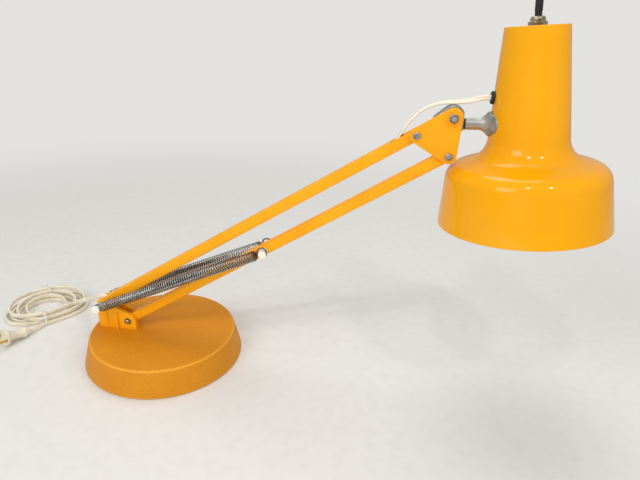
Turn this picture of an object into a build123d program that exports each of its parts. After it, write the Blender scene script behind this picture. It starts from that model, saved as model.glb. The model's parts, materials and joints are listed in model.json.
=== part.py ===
from build123d import *
import math
import os

# A desk lamp with a round weighted foot, a balanced arm of two parallel square tubes,
# a pair of coil springs beside the arm and a bell-shaped shade on a swivelling stub.
# Millimetres, +Z up. The origin is the centre of the foot on the table.
# The arm moves in the plane y = 0, and the shade is on the +X side.

# Shared clearances
running_gap = 0.08
seat_gap = 0.05
side_gap = 0.4
cut_overrun = 2.0

# Arm linkage
bar_size = 12.0
bar_wall = 1.0
bar_corner = 1.6
arm_length = 450.0
arm_angle = 32.6
pivot_spacing = 40.0
link_angle = -30.0
anchor_z = 66.0
bar_tail = 7.0
bar_foot = 6.4
bar_nose = 7.0
pin_radius = 2.5
lead_slot_length = 17.0
lead_slot_width = 7.0
lead_slot_back = 20.0

# Weighted foot
base_radius = 100.0
base_taper = 8.4
base_height = 34.3
base_rim_round = 4.5
base_wall = 3.0
base_lift = 0.8
pad_inset = 4.0
pad_thickness = 2.0
plate_inset = 2.5
plate_thickness = 1.2
ballast_gap = 2.6
ballast_height = 24.0
ballast_edge = 2.5
ballast_bolt_radius = 3.0
ballast_bolt_head_radius = 6.0
ballast_bolt_head_depth = 3.0
ballast_boss_radius = 8.0

# Bracket that stands on the foot
anchor_inset = 13.6
cheek_thickness = 4.0
cheek_round = 10.6
anchor_round = 6.8
far_cheek_round = 7.0
bracket_rear_reach = 8.5
bracket_rear_height = 27.0
bracket_corner = 7.5
bracket_block_reach = 21.0
bracket_block_height = 13.0
bracket_floor = 2.0
fin_distance = 20.5
fin_thickness = 2.7
fin_reach = 2.6
fin_low_height = 23.0
fin_slope = 2.0
groove_distance = 8.3
groove_width = 1.4
groove_depth = 0.8
bracket_screw_radius = 2.0
bracket_screw_head_radius = 3.8
bracket_screw_head_height = 2.4
bracket_screw_depth = 9.0
bracket_screw_inset = 7.0
bracket_screw_spacing = 16.0

# Springs beside the arm
spring_radius = 6.5
spring_wire = 1.8
spring_turns = 46
spring_anchor_y = 17.4
spring_post_y = 14.0
spring_bend = 2.6
post_distance = 215.5
bush_radius = 4.0
bush_cap_radius = 4.7
bush_cap_length = 3.4
bush_cap_round = 1.2
bush_end_beyond = 6.6
bush_end_wall = 1.6
hook_wire = 1.8
hook_gap = 0.35
hook_plug_length = 3.0
hook_neck = 5.0

# Head plate and its bolts
plate_gap = 0.5
head_plate_thickness = 2.5
plate_corner_upper = 8.0
plate_corner_lower = 8.0
plate_corner_tilt = 9.6
plate_tilt_rise = 2.6
bolt_head_radius = 4.0
bolt_head_height = 2.6
bolt_head_round = 1.0
nut_radius = 4.6
nut_height = 4.0
tilt_bolt_radius = 3.0
tilt_nut_radius = 5.2
tilt_nut_height = 4.5
tilt_bolt_end = 1.2
tilt_washer_radius = 5.4
tilt_washer_thickness = 1.2

# Knuckle, friction washer and stub
knuckle_eye_radius = 11.8
knuckle_tail_reach = 15.0
knuckle_tail_offset = 3.5
knuckle_tail_radius = 4.5
knuckle_boss_height = 12.0
knuckle_gap = 0.3
knuckle_edge = 0.8
stub_angle = 3.0
stub_offset = 7.4
stub_face = 11.0
washer_radius = 5.4
washer_thickness = 2.0
stub_radius = 6.0
stub_straight = 13.0
stub_flare_radius = 12.4
stub_flare_width = 18.0
stub_flare_round = 12.0
stub_flare_sections = 6
stub_rim = 2.2
saddle_gap = 0.1
stub_screw_radius = 2.4
stub_screw_grip = 7.0
stub_nut_radius = 5.0
stub_nut_height = 3.6
stub_nut_gap = 0.9

# Shade, measured along its own axis from the mouth
mouth_radius = 88.6
skirt_top_radius = 80.4
skirt_height = 61.2
shoulder_round = 17.6
neck_foot_radius = 41.2
neck_foot_height = 73.4
neck_round = 24.0
neck_top_radius = 30.0
shade_height = 196.2
shade_wall = 1.0
shade_lean = 5.2
shade_turn = 3.0
stub_height_on_shade = 103.7
lip_depth = 3.0
lip_width = 1.8

# Lead grommet on the neck
grommet_height = 27.3
grommet_radius = 6.4
grommet_proud = 3.4
grommet_inner_proud = 2.0
grommet_hole_gap = 0.3
grommet_waist_radius = 4.4
grommet_round = 1.0
grommet_lead_run = 10.0
grommet_lead_depth = 1.7

# Lamp holder, bulb and switch
holder_radius = 18.0
holder_length = 46.0
holder_bore_radius = 13.7
holder_bore_depth = 26.0
nipple_radius = 6.0
nipple_bore_radius = 4.0
nipple_rise = 5.0
bulb_cap_radius = 13.3
bulb_cap_length = 24.0
bulb_contact_radius = 5.0
bulb_contact_height = 1.9
bulb_radius = 30.0
bulb_reach = 75.0
bulb_neck_radius = 12.2
bulb_wall = 1.0
bulb_neck_grip = 3.0
bulb_swell_angle = 40.0
collar_radius = 8.9
collar_height = 4.0
collar_dome_radius = 6.2
collar_dome_height = 4.4
collar_round = 1.4
stem_radius = 3.6
stem_rise = 24.0
stem_depth = 12.0
stem_round = 0.8
stem_gap = 0.1

# Lead, coil and plug
lead_diameter = 4.6
coil_loops_per_layer = 3
coil_pitch = 5.4
coil_layer_rise = 6.4
coil_straight = 26.0
coil_outer_radius = 41.0
coil_heading = 41.0
coil_x = -209.0
coil_y = 63.0
coil_start_x = 4.0
coil_end_x = -9.0
coil_plug_run = 13.0
coil_lamp_run = 15.0
tie_wall = 1.0
tie_width = 3.0
tie_gap = 0.3
near_tie_x = 1.0
near_tie_pitches = 4
far_tie_x = -3.0
far_tie_pitches = 2
plug_heading = 62.0
plug_x = -211.7
plug_y = -28.4
plug_exit_run = 10.0
plug_flange_radius = 12.0
plug_flange_length = 3.2
plug_waist_radius = 5.6
plug_waist_length = 21.0
plug_collar_radius = 7.6
plug_collar_length = 4.6
plug_tail_radius = 4.4
plug_tail_length = 4.0
plug_edge = 0.8
plug_pin_radius = 2.0
plug_pin_length = 19.0
plug_pin_spacing = 19.0
plug_pin_root = 4.0
corner_run_share = 0.45
self_gap_skip_turns = 0.3

# Worked-out places in the arm's plane, each as (x, z)
along = (math.cos(math.radians(arm_angle)), math.sin(math.radians(arm_angle)))
link = (math.cos(math.radians(link_angle)), math.sin(math.radians(link_angle)))


def step_from(place, direction, distance):
    """Move a place of the arm's plane along a direction."""
    return (place[0] + direction[0] * distance, place[1] + direction[1] * distance)


base_top_radius = base_radius - base_taper
pad_radius = base_radius - base_wall - pad_inset
plate_radius = base_radius - base_wall - plate_inset
ballast_radius = base_top_radius - base_wall - ballast_gap
anchor_x = anchor_inset - base_top_radius
bracket_rear = anchor_x - bracket_rear_reach
bracket_block_front = anchor_x + bracket_block_reach
fin_x = anchor_x + fin_distance
groove_x = anchor_x + groove_distance
anchor = (anchor_x, anchor_z)
hinge = step_from(anchor, link, pivot_spacing)
upper_end = step_from(anchor, along, arm_length)
lower_end = step_from(hinge, along, arm_length)
tilt = (lower_end[0], lower_end[1] + pivot_spacing)
post = step_from(hinge, along, post_distance)
bracket_screw_rear = bracket_rear + bracket_screw_inset
bracket_screw_xs = (bracket_screw_rear, bracket_screw_rear + bracket_screw_spacing)
bar_half = bar_size / 2
cheek_inner = bar_half + side_gap
cheek_outer = cheek_inner + cheek_thickness
plate_inner = bar_half + plate_gap
plate_outer = plate_inner + head_plate_thickness

# Shade frame: the mouth's centre, its axis, and the stub that carries it
stub_along = (math.cos(math.radians(stub_angle)), math.sin(math.radians(stub_angle)))
stub_root = (tilt[0], tilt[1] - stub_offset)
neck_slope = (neck_foot_radius - neck_top_radius) / (shade_height - neck_foot_height)
neck_radius_at_stub = neck_foot_radius - (stub_height_on_shade - neck_foot_height) * neck_slope
stub_length = stub_straight + stub_flare_round
stub_start = stub_face + washer_thickness
shade_reach = stub_start + stub_length + neck_radius_at_stub
shade_centre = step_from(stub_root, stub_along, shade_reach)
shade_place = (
    Pos(shade_centre[0], 0, shade_centre[1])
    * Rot(0, -stub_angle, 0)
    * Rot(shade_turn * -1, 0, 0)
    * Rot(0, stub_angle - shade_lean, 0)
    * Pos(0, 0, -stub_height_on_shade)
)
stub_place = Pos(stub_root[0], 0, stub_root[1]) * Rot(0, 90 - stub_angle, 0)


def across(drawing, y_low, y_high):
    """Extrude a drawing of the arm's plane from one side of the lamp to the other."""
    return extrude(Plane.XZ.offset(-y_high) * drawing, amount=y_high - y_low)


def rod(place, radius, y_low, y_high):
    """A round bar square to the arm's plane."""
    return across(Pos(*place) * Circle(radius), y_low, y_high)


def turned(points):
    """A solid turned about Z from its half outline, given as (radius, height)."""
    return revolve(Plane.XZ * make_face(Polyline(*points, close=True)), Axis.Z)


def standing(radius, low, high):
    """A round bar along Z between two heights."""
    return Pos(0, 0, low) * Cylinder(radius, high - low, align=(Align.CENTER, Align.CENTER, Align.MIN))


def hex_nut(radius, height, bore):
    """A hexagon nut that stands on z = 0."""
    return extrude(RegularPolygon(radius, 6) - Circle(bore), amount=height)


def facing(place, y, side):
    """A location on the arm's plane whose Z points out of the lamp on one side."""
    return Pos(place[0], y, place[1]) * Rot(-90 * side, 0, 0)


def square_tube(start, end):
    """A length of the arm's square tube along X."""
    outer = RectangleRounded(bar_size, bar_size, bar_corner)
    bore = bar_size - 2 * bar_wall
    inner = RectangleRounded(bore, bore, bar_corner - bar_wall)
    return Pos(start, 0, 0) * extrude(Plane.YZ * (outer - inner), amount=end - start)


def bar_holes(distances, radius):
    """Cross holes at some distances along a bar that lies along X."""
    return [rod((distance, 0), radius, -bar_size, bar_size) for distance in distances]


def in_arm(solid, place):
    """Bring a bar drawn along X to its pivot and its angle."""
    return Pos(place[0], 0, place[1]) * Rot(0, -arm_angle, 0) * solid


# Weighted foot

def base_side_radius(height):
    """Radius of the foot's sloping side at a height."""
    share = (height - base_lift) / (base_height - base_lift)
    return base_radius + (base_top_radius - base_radius) * share


def make_base_cover():
    inside_top = base_height - base_wall
    outer = make_face(Polyline((0, base_lift), (base_radius, base_lift), (base_top_radius, base_height),
                               (0, base_height), close=True))
    rim = outer.vertices().sort_by(Axis.Y)[-2:].sort_by(Axis.X)[-1]
    outer = fillet(rim, base_rim_round)
    inner = make_face(Polyline((0, 0), (base_radius - base_wall, 0),
                               (base_side_radius(inside_top) - base_wall, inside_top),
                               (0, inside_top), close=True))
    shell = revolve(Plane.XZ * (outer - inner), Axis.Z)
    ballast_top = pad_thickness + plate_thickness + ballast_height
    boss = standing(ballast_boss_radius, ballast_top, inside_top)
    bolt_hole = standing(ballast_bolt_radius + seat_gap, ballast_top - cut_overrun, inside_top)
    cover = shell + boss - bolt_hole
    for x in bracket_screw_xs:
        low = inside_top - cut_overrun
        cover -= Pos(x, 0, 0) * standing(bracket_screw_radius + seat_gap, low, base_height + cut_overrun)
    return cover


def make_base_pad():
    return standing(pad_radius, 0, pad_thickness)


def ballast_bolt_shape(gap):
    """The countersunk bolt that holds the weight, grown by a gap for its holes."""
    low = pad_thickness
    neck = low + ballast_bolt_head_depth
    top = base_height - base_wall
    return turned([
        (0, low), (ballast_bolt_head_radius + gap, low), (ballast_bolt_radius + gap, neck),
        (ballast_bolt_radius + gap, top), (0, top),
    ])


def make_base_plate():
    disc = standing(plate_radius, pad_thickness, pad_thickness + plate_thickness)
    return disc - ballast_bolt_shape(seat_gap)


def make_base_ballast():
    low = pad_thickness + plate_thickness
    disc = standing(ballast_radius, low, low + ballast_height)
    rim = disc.edges().filter_by(GeomType.CIRCLE).sort_by(Axis.Z)[-1]
    return chamfer(rim, ballast_edge) - ballast_bolt_shape(seat_gap)


# Bracket on the foot

def cheek_outline(hinge_round):
    """Side outline of a cheek: rounds at the two pivots, a foot and an upright back."""
    rounds = Pos(*anchor) * Circle(anchor_round) + Pos(*hinge) * Circle(hinge_round)
    foot_length = hinge[0] + hinge_round - bracket_rear
    foot = Pos(bracket_rear + foot_length / 2, base_height + pin_radius)
    foot *= Rectangle(foot_length, 2 * pin_radius)
    rear = Pos(bracket_rear + pin_radius, base_height + bracket_rear_height / 2)
    rear *= Rectangle(2 * pin_radius, bracket_rear_height)
    return make_hull((rounds + foot + rear).edges())


def make_arm_bracket():
    body = across(cheek_outline(cheek_round), -cheek_outer, 0)
    body += across(cheek_outline(far_cheek_round), 0, cheek_outer)
    plan_length = hinge[0] - bracket_rear + 2 * cheek_round
    plan = Pos(bracket_rear + plan_length / 2, 0) * Rectangle(plan_length, 2 * cheek_outer)
    rear_corners = plan.vertices().sort_by(Axis.X)[:2]
    plan = fillet(rear_corners, bracket_corner)
    body &= Pos(0, 0, base_height) * extrude(plan, amount=2 * anchor_z)
    floor = base_height + bracket_floor
    block = base_height + bracket_block_height
    slot_top = anchor_z + 2 * cheek_round
    rear_slot = Pos(bracket_rear, 0, block) * Box(
        plan_length, 2 * cheek_inner, slot_top - block, align=(Align.CENTER, Align.CENTER, Align.MIN))
    front_slot = Pos(bracket_block_front, 0, floor) * Box(
        plan_length, 2 * cheek_inner, slot_top - floor, align=(Align.MIN, Align.CENTER, Align.MIN))
    body -= rear_slot + front_slot
    fin = Polyline((cheek_outer - cheek_thickness / 2, base_height), (cheek_outer + fin_reach, base_height),
                   (cheek_outer + fin_reach, base_height + fin_low_height),
                   (cheek_outer - cheek_thickness / 2, base_height + fin_low_height + fin_slope), close=True)
    fin = extrude(Plane.YZ.offset(fin_x - fin_thickness / 2) * make_face(fin), amount=fin_thickness)
    body += fin + mirror(fin, Plane.XZ)
    for side in (-1, 1):
        body -= Pos(groove_x, side * cheek_outer, anchor_z) * Box(groove_width, 2 * groove_depth, 2 * anchor_z)
    body -= rod(anchor, pin_radius + seat_gap, -cheek_outer - fin_reach, cheek_outer + fin_reach)
    body -= rod(hinge, pin_radius + seat_gap, -cheek_outer - fin_reach, cheek_outer + fin_reach)
    for x in bracket_screw_xs:
        top = base_height + bracket_screw_depth
        body -= Pos(x, 0, 0) * standing(bracket_screw_radius + seat_gap, base_height - cut_overrun, top)
    return body


def make_bracket_screws():
    under = base_height - base_wall
    head = standing(bracket_screw_head_radius, under - bracket_screw_head_height, under)
    shank = standing(bracket_screw_radius, under, base_height + bracket_screw_depth)
    return Compound(children=[Pos(x, 0, 0) * (head + shank) for x in bracket_screw_xs])


def pan_head():
    """A low rounded screw head that stands on z = 0."""
    head = standing(bolt_head_radius, 0, bolt_head_height)
    return fillet(head.edges().filter_by(GeomType.CIRCLE).sort_by(Axis.Z)[-1], bolt_head_round)


def make_hinge_screw():
    shank = rod(hinge, pin_radius, -cheek_outer, cheek_outer + nut_height)
    return shank + facing(hinge, -cheek_outer, -1) * pan_head()


def make_hinge_nut():
    return facing(hinge, cheek_outer, 1) * hex_nut(nut_radius, nut_height, pin_radius + seat_gap)


# Spring pins and bushes

def bush(length):
    """A white bush with a domed cap that slips over a pin's end, standing on z = 0."""
    cap = standing(bush_cap_radius, length - bush_cap_length, length)
    cap = fillet(cap.edges().filter_by(GeomType.CIRCLE).sort_by(Axis.Z)[-1], bush_cap_round)
    body = standing(bush_radius, 0, length - bush_cap_length) + cap
    return body - standing(pin_radius + seat_gap, -cut_overrun, length - bush_end_wall)


def make_pin(place, spring_y):
    reach = spring_y + bush_end_beyond - bush_end_wall
    return rod(place, pin_radius, -reach, reach)


def make_bushes(place, face_y, spring_y):
    one = bush(spring_y + bush_end_beyond - face_y)
    return Compound(children=[facing(place, side * face_y, side) * one for side in (-1, 1)])


# Arm

def make_upper_bar():
    tube = square_tube(-bar_tail, arm_length + bar_nose)
    for hole in bar_holes((0, arm_length), pin_radius + running_gap):
        tube -= hole
    slot = SlotOverall(lead_slot_length, lead_slot_width)
    slot = extrude(slot, amount=2 * cut_overrun)
    tube -= Pos(arm_length - lead_slot_back, 0, bar_half - cut_overrun) * slot
    return in_arm(tube, anchor)


def make_lower_bar():
    tube = square_tube(-bar_foot, arm_length + bar_nose)
    for hole in bar_holes((0, arm_length), pin_radius + running_gap):
        tube -= hole
    for hole in bar_holes((post_distance,), pin_radius + seat_gap):
        tube -= hole
    return in_arm(tube, hinge)


# Head plate with its bolts

def make_head_plate():
    corners = Pos(*upper_end) * Circle(plate_corner_upper) + Pos(*lower_end) * Circle(plate_corner_lower)
    corners += Pos(tilt[0], tilt[1] + plate_tilt_rise) * Circle(plate_corner_tilt)
    plate = across(make_hull(corners.edges()), -plate_outer, -plate_inner)
    for place in (upper_end, lower_end):
        plate -= rod(place, pin_radius + seat_gap, -2 * plate_outer, 0)
    return plate - rod(tilt, tilt_bolt_radius + seat_gap, -2 * plate_outer, 0)


def make_head_bolts():
    bolts = []
    for place in (upper_end, lower_end):
        shank = rod(place, pin_radius, -plate_outer, plate_inner + nut_height)
        bolts.append(shank + facing(place, -plate_outer, -1) * pan_head())
    return Compound(children=bolts)


def make_head_nuts():
    nut = hex_nut(nut_radius, nut_height, pin_radius + seat_gap)
    return Compound(children=[facing(place, plate_inner, 1) * nut for place in (upper_end, lower_end)])


def make_tilt_bolt():
    near = plate_outer + tilt_washer_thickness + tilt_nut_height + tilt_bolt_end
    shank = rod(tilt, tilt_bolt_radius, -near, plate_inner)
    head = extrude(RegularPolygon(tilt_nut_radius, 6), amount=nut_height)
    return shank + facing(tilt, plate_inner, 1) * head


def make_tilt_nut():
    face = -plate_outer - tilt_washer_thickness
    return facing(tilt, face, -1) * hex_nut(tilt_nut_radius, tilt_nut_height, tilt_bolt_radius + seat_gap)


def make_tilt_washer():
    ring = Circle(tilt_washer_radius) - Circle(tilt_bolt_radius + seat_gap)
    return facing(tilt, -plate_outer, -1) * extrude(ring, amount=tilt_washer_thickness)


# Knuckle and stub

def make_knuckle():
    half = plate_inner - knuckle_gap
    eye = Pos(*tilt) * Circle(knuckle_eye_radius)
    tail = Pos(tilt[0] - knuckle_tail_reach, tilt[1] - knuckle_tail_offset) * Circle(knuckle_tail_radius)
    boss_centre = step_from(stub_root, stub_along, stub_face / 2)
    boss = Pos(*boss_centre) * Rot(0, 0, stub_angle) * Rectangle(stub_face, knuckle_boss_height)
    body = across(make_hull((eye + tail + boss).edges()), -half, half)
    faces = body.faces().sort_by(Axis.Y)
    body = chamfer(faces[0].edges() + faces[-1].edges(), knuckle_edge)
    body -= rod(tilt, tilt_bolt_radius + running_gap, -2 * half, 2 * half)
    grip = standing(stub_screw_radius + running_gap, stub_face - stub_screw_grip, stub_face + cut_overrun)
    face_cut = standing(2 * knuckle_eye_radius, stub_face, stub_face + knuckle_eye_radius)
    return body - stub_place * (grip + face_cut)


def make_friction_washer():
    ring = standing(washer_radius, stub_face, stub_start)
    return stub_place * (ring - standing(stub_screw_radius + running_gap, 0, stub_start + cut_overrun))


def shade_outline(offset):
    """Half outline of the bell at an offset from its outer face, as lines and rounds."""
    lines = Polyline((mouth_radius + offset, 0), (skirt_top_radius + offset, skirt_height + offset),
                     (neck_foot_radius + offset, neck_foot_height + offset),
                     (neck_top_radius + offset, shade_height + offset))
    corners = lines.vertices().sort_by(Axis.Y)
    top = shade_height + offset
    face = make_face([*lines.edges(), Line((neck_top_radius + offset, top), (0, top)),
                      Line((0, top), (0, 0)), Line((0, 0), (mouth_radius + offset, 0))])
    shoulder = face.vertices().sort_by_distance((*corners[1].center(),))[0]
    face = fillet(shoulder, shoulder_round + offset)
    foot = face.vertices().sort_by_distance((neck_foot_radius + offset, neck_foot_height + offset, 0))[0]
    return fillet(foot, neck_round - offset)


def bell(offset):
    """The filled bell, standing on its mouth."""
    return revolve(Plane.XZ * shade_outline(offset), Axis.Z)


def make_shade_stub():
    """A round rod that flares into an oval saddle round the shade's neck."""
    flare_start = stub_start + stub_straight
    flare_run = stub_flare_round - stub_rim
    wrap = neck_radius_at_stub - math.sqrt(neck_radius_at_stub ** 2 - stub_flare_width ** 2)
    sections = []
    for count in range(stub_flare_sections):
        run = (flare_run + wrap) * count / (stub_flare_sections - 1)
        upright_share = min(1, run / flare_run) ** 2
        sideways_share = (run / (flare_run + wrap)) ** 2
        upright = stub_radius + (stub_flare_radius - stub_radius) * upright_share
        sideways = stub_radius + (stub_flare_width - stub_radius) * sideways_share
        sections.append(Pos(0, 0, flare_start + run) * Ellipse(upright, sideways))
    body = standing(stub_radius, stub_start, flare_start) + loft(sections)
    body += extrude(sections[-1], amount=2 * stub_rim)
    body = stub_place * body - shade_place * bell(saddle_gap)
    return body - stub_place * standing(stub_screw_radius + seat_gap, 0, 2 * shade_reach)


def make_stub_screw():
    end = stub_start + stub_length + shade_wall + stub_nut_gap + stub_nut_height
    return stub_place * standing(stub_screw_radius, stub_face - stub_screw_grip, end)


def make_stub_nut():
    inside = stub_start + stub_length + shade_wall + stub_nut_gap
    nut = hex_nut(stub_nut_radius, stub_nut_height, stub_screw_radius + seat_gap)
    return stub_place * (Pos(0, 0, inside) * nut)


# Shade

def make_shade_shell():
    shell = bell(0) - bell(-shade_wall)
    inner_mouth = mouth_radius - shade_wall
    lip = turned([
        (inner_mouth - lip_width, 0), (inner_mouth, 0), (inner_mouth, lip_depth),
        (inner_mouth - shade_wall, lip_depth),
        (inner_mouth - shade_wall, shade_wall), (inner_mouth - lip_width, shade_wall),
    ])
    shell += lip
    shell -= standing(nipple_radius + seat_gap, shade_height - 2 * cut_overrun, shade_height + cut_overrun)
    shell = shade_place * shell
    hole_end = stub_start + stub_length + neck_round
    shell -= stub_place * standing(stub_screw_radius + seat_gap, stub_start, hole_end)
    return shell - grommet_place() * standing(grommet_waist_radius, -neck_round, neck_round)


def grommet_place():
    """On the neck's wall above the stub, with Z pointing out towards the arm."""
    height = stub_height_on_shade + grommet_height
    radius = neck_foot_radius - (height - neck_foot_height) * neck_slope
    lean = math.degrees(math.atan(neck_slope))
    return shade_place * Pos(-radius, 0, height) * Rot(0, -90 + lean, 0)


def make_lead_grommet():
    outer = standing(grommet_radius, saddle_gap, grommet_proud)
    outer = fillet(outer.edges().filter_by(GeomType.CIRCLE).sort_by(Axis.Z)[-1], grommet_round)
    waist = standing(grommet_waist_radius - seat_gap, -shade_wall - grommet_inner_proud, saddle_gap)
    hole = standing(lead_diameter / 2 + grommet_hole_gap, -neck_round, neck_round)
    return grommet_place() * (outer + waist - hole)


# Lamp holder, bulb and switch

holder_top = shade_height - shade_wall
holder_low = holder_top - holder_length
holder_floor = holder_low + holder_bore_depth


def make_lampholder():
    body = standing(holder_radius, holder_low, holder_top - seat_gap)
    nipple = standing(nipple_radius, holder_top - seat_gap, shade_height + nipple_rise)
    bore = standing(holder_bore_radius, holder_low - cut_overrun, holder_floor)
    stem_bore = standing(nipple_bore_radius, shade_height - stem_depth, shade_height + 2 * nipple_rise)
    return shade_place * (body + nipple - bore - stem_bore)


def make_bulb_cap():
    top = holder_floor - bulb_contact_height
    cap = standing(bulb_cap_radius, top - bulb_cap_length, top)
    contact = standing(bulb_contact_radius, top, holder_floor - seat_gap)
    rim = top - bulb_cap_length
    socket = standing(bulb_neck_radius + seat_gap, rim - cut_overrun, rim + bulb_neck_grip)
    return shade_place * (cap + contact - socket)


def make_bulb_glass():
    neck_high = holder_floor - bulb_contact_height - bulb_cap_length + bulb_neck_grip - seat_gap
    centre = holder_floor - bulb_reach
    neck_low = neck_high - 2 * bulb_neck_grip

    def half_profile(inset):
        ball = bulb_radius - inset
        neck = bulb_neck_radius - inset
        swing = math.radians(bulb_swell_angle)
        start = (ball * math.cos(swing), centre + ball * math.sin(swing))
        return [
            ThreePointArc((0, centre - ball), (ball, centre), start),
            TangentArc((neck, neck_low), start, tangent=(0, -1)),
            Line((neck, neck_low), (neck, neck_high)),
        ]

    outer = half_profile(0)
    inner = half_profile(bulb_wall)
    face = make_face([*outer, Line(outer[2] @ 1, inner[2] @ 1), *inner, Line(inner[0] @ 0, outer[0] @ 0)])
    return shade_place * revolve(Plane.XZ * face, Axis.Z)


def make_switch_collar():
    lower = standing(collar_radius, shade_height, shade_height + collar_height)
    top = shade_height + collar_height + collar_dome_height
    dome = standing(collar_dome_radius, shade_height + collar_height, top)
    dome = fillet(dome.edges().filter_by(GeomType.CIRCLE).sort_by(Axis.Z)[-1], collar_round)
    body = lower + dome
    body -= standing(nipple_radius + seat_gap, shade_height - cut_overrun, shade_height + nipple_rise + seat_gap)
    return shade_place * (body - standing(stem_radius + stem_gap, shade_height, top + cut_overrun))


def make_switch_stem():
    top = shade_height + stem_rise
    stem = standing(stem_radius, shade_height - stem_depth + stem_gap, top)
    return shade_place * fillet(stem.edges().filter_by(GeomType.CIRCLE).sort_by(Axis.Z)[-1], stem_round)


# Wound and laid forms

def biarc(start, start_way, end, end_way):
    """Two arcs that join two points smoothly with a given direction at each."""
    chord = end - start
    ways = start_way + end_way
    spread = 2 * (1 - start_way.dot(end_way))
    lean = chord.dot(ways)
    reach = (math.sqrt(lean * lean + spread * chord.dot(chord)) - lean) / spread
    first = start + start_way * reach
    last = end - end_way * reach
    middle = (first + last) / 2
    way = (last - first).normalized()
    return [Edge.make_tangent_arc(start, start_way, middle), Edge.make_tangent_arc(middle, way, end)]


def least_self_gap(path, diameter, spacing, skip):
    """Least gap between parts of a tube that are more than a skip apart along it."""
    count = int(path.length / spacing)
    points = [path.position_at(i / count) for i in range(count + 1)]
    skipped = int(skip / spacing)
    least = path.length
    for i, point in enumerate(points):
        for other in points[i + skipped:]:
            least = min(least, (point - other).length)
    return least - diameter


def tube(path, diameter):
    """Sweep a round section along a path."""
    section = Plane(origin=path @ 0, z_dir=path % 0) * Circle(diameter / 2)
    return sweep(section, path=path)


def spring_frame(side):
    """Ends of a spring's axis on one side of the arm, and the axis's direction."""
    low = Vector(anchor[0], side * spring_anchor_y, anchor[1])
    high = Vector(post[0], side * spring_post_y, post[1])
    return low, high, (high - low).normalized()


def hook_length():
    """From the post's axis to the face of the plug that the coil ends on."""
    return bush_radius + hook_gap + hook_wire + hook_neck + hook_plug_length


def spring_path(side):
    """From a hook round the anchor's bush, through the turns, to the plug of the upper hook."""
    low, high, way = spring_frame(side)
    coil_radius = spring_radius - spring_wire / 2
    loop_radius = bush_radius + hook_gap + spring_wire / 2
    above = Vector(-way.Z, 0, way.X).normalized()
    beside = way.cross(above)
    stop = (high - low).length - hook_length() - hook_gap
    first = loop_radius + spring_bend
    last = stop - spring_wire - spring_bend
    pitch = (last - first) / spring_turns
    halves = 2 * spring_turns
    swing = math.atan(spring_bend / coil_radius)
    step = math.pi - 2 * swing / halves
    round_share = coil_radius * step / (pitch / 2)

    def off_axis(reach, height):
        return low + way * reach + above * height

    def at(half_turns):
        angle = swing + step * half_turns
        out = above * math.cos(angle) + beside * math.sin(angle)
        return low + way * (first + pitch * half_turns / 2) + out * coil_radius

    def heading(half_turns):
        angle = swing + step * half_turns
        round_way = beside * math.cos(angle) - above * math.sin(angle)
        return (round_way * round_share + way).normalized()

    loop_end = off_axis(0, loop_radius)
    run_end = off_axis(loop_radius, loop_radius)
    seat_start = off_axis(stop - spring_wire, coil_radius)
    edges = [
        Edge.make_line(off_axis(spring_wire, -loop_radius), off_axis(0, -loop_radius)),
        Edge.make_tangent_arc(off_axis(0, -loop_radius), way * -1, off_axis(-loop_radius, 0)),
        Edge.make_tangent_arc(off_axis(-loop_radius, 0), above, loop_end),
        Edge.make_line(loop_end, run_end),
        *biarc(run_end, way, at(0), heading(0)),
    ]
    for half in range(halves):
        edges += biarc(at(half), heading(half), at(half + 1), heading(half + 1))
    edges += biarc(at(halves), heading(halves), seat_start, way)
    edges.append(Edge.make_line(seat_start, off_axis(stop, coil_radius)))
    return Wire(edges)


def make_spring(side):
    path = spring_path(side)
    skip = self_gap_skip_turns * 2 * math.pi * spring_radius
    print("spring", side, "length", round(path.length, 1),
          "least self gap", round(least_self_gap(path, spring_wire, spring_wire, skip), 2))
    return tube(path, spring_wire)


def make_spring_hooks():
    hooks = []
    ring_radius = bush_radius + hook_gap + hook_wire / 2
    for side in (-1, 1):
        low, high, way = spring_frame(side)
        eye = Pos(*high) * Rot(90, 0, 0) * Torus(ring_radius, hook_wire / 2)
        shank_plane = Plane(origin=high - way * ring_radius, z_dir=way * -1)
        neck_length = hook_wire / 2 + hook_neck + hook_plug_length / 2
        neck = extrude(shank_plane * Circle(hook_wire / 2), amount=neck_length)
        plug_plane = Plane(origin=high - way * hook_length(), z_dir=way)
        plug = extrude(plug_plane * Circle(spring_radius), amount=hook_plug_length)
        hooks.append(eye + neck + plug)
    return Compound(children=hooks)


# Lead, coil and plug

coil_place = Pos(coil_x, coil_y, 0) * Rot(0, 0, coil_heading)
coil_floor = tie_wall + tie_gap + lead_diameter / 2
coil_roof = coil_floor + coil_layer_rise

# The plug lies on its flange's edge and on its collar
plug_pitch = math.atan((plug_flange_radius - plug_collar_radius) / (plug_waist_length + plug_collar_length))
plug_axis_height = plug_flange_length * math.sin(plug_pitch) + plug_flange_radius * math.cos(plug_pitch)
plug_place = (
    Pos(plug_x, plug_y, plug_axis_height)
    * Rot(0, 0, plug_heading)
    * Rot(0, 90 + math.degrees(plug_pitch), 0)
)
plug_length = plug_flange_length + plug_waist_length + plug_collar_length + plug_tail_length


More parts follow.
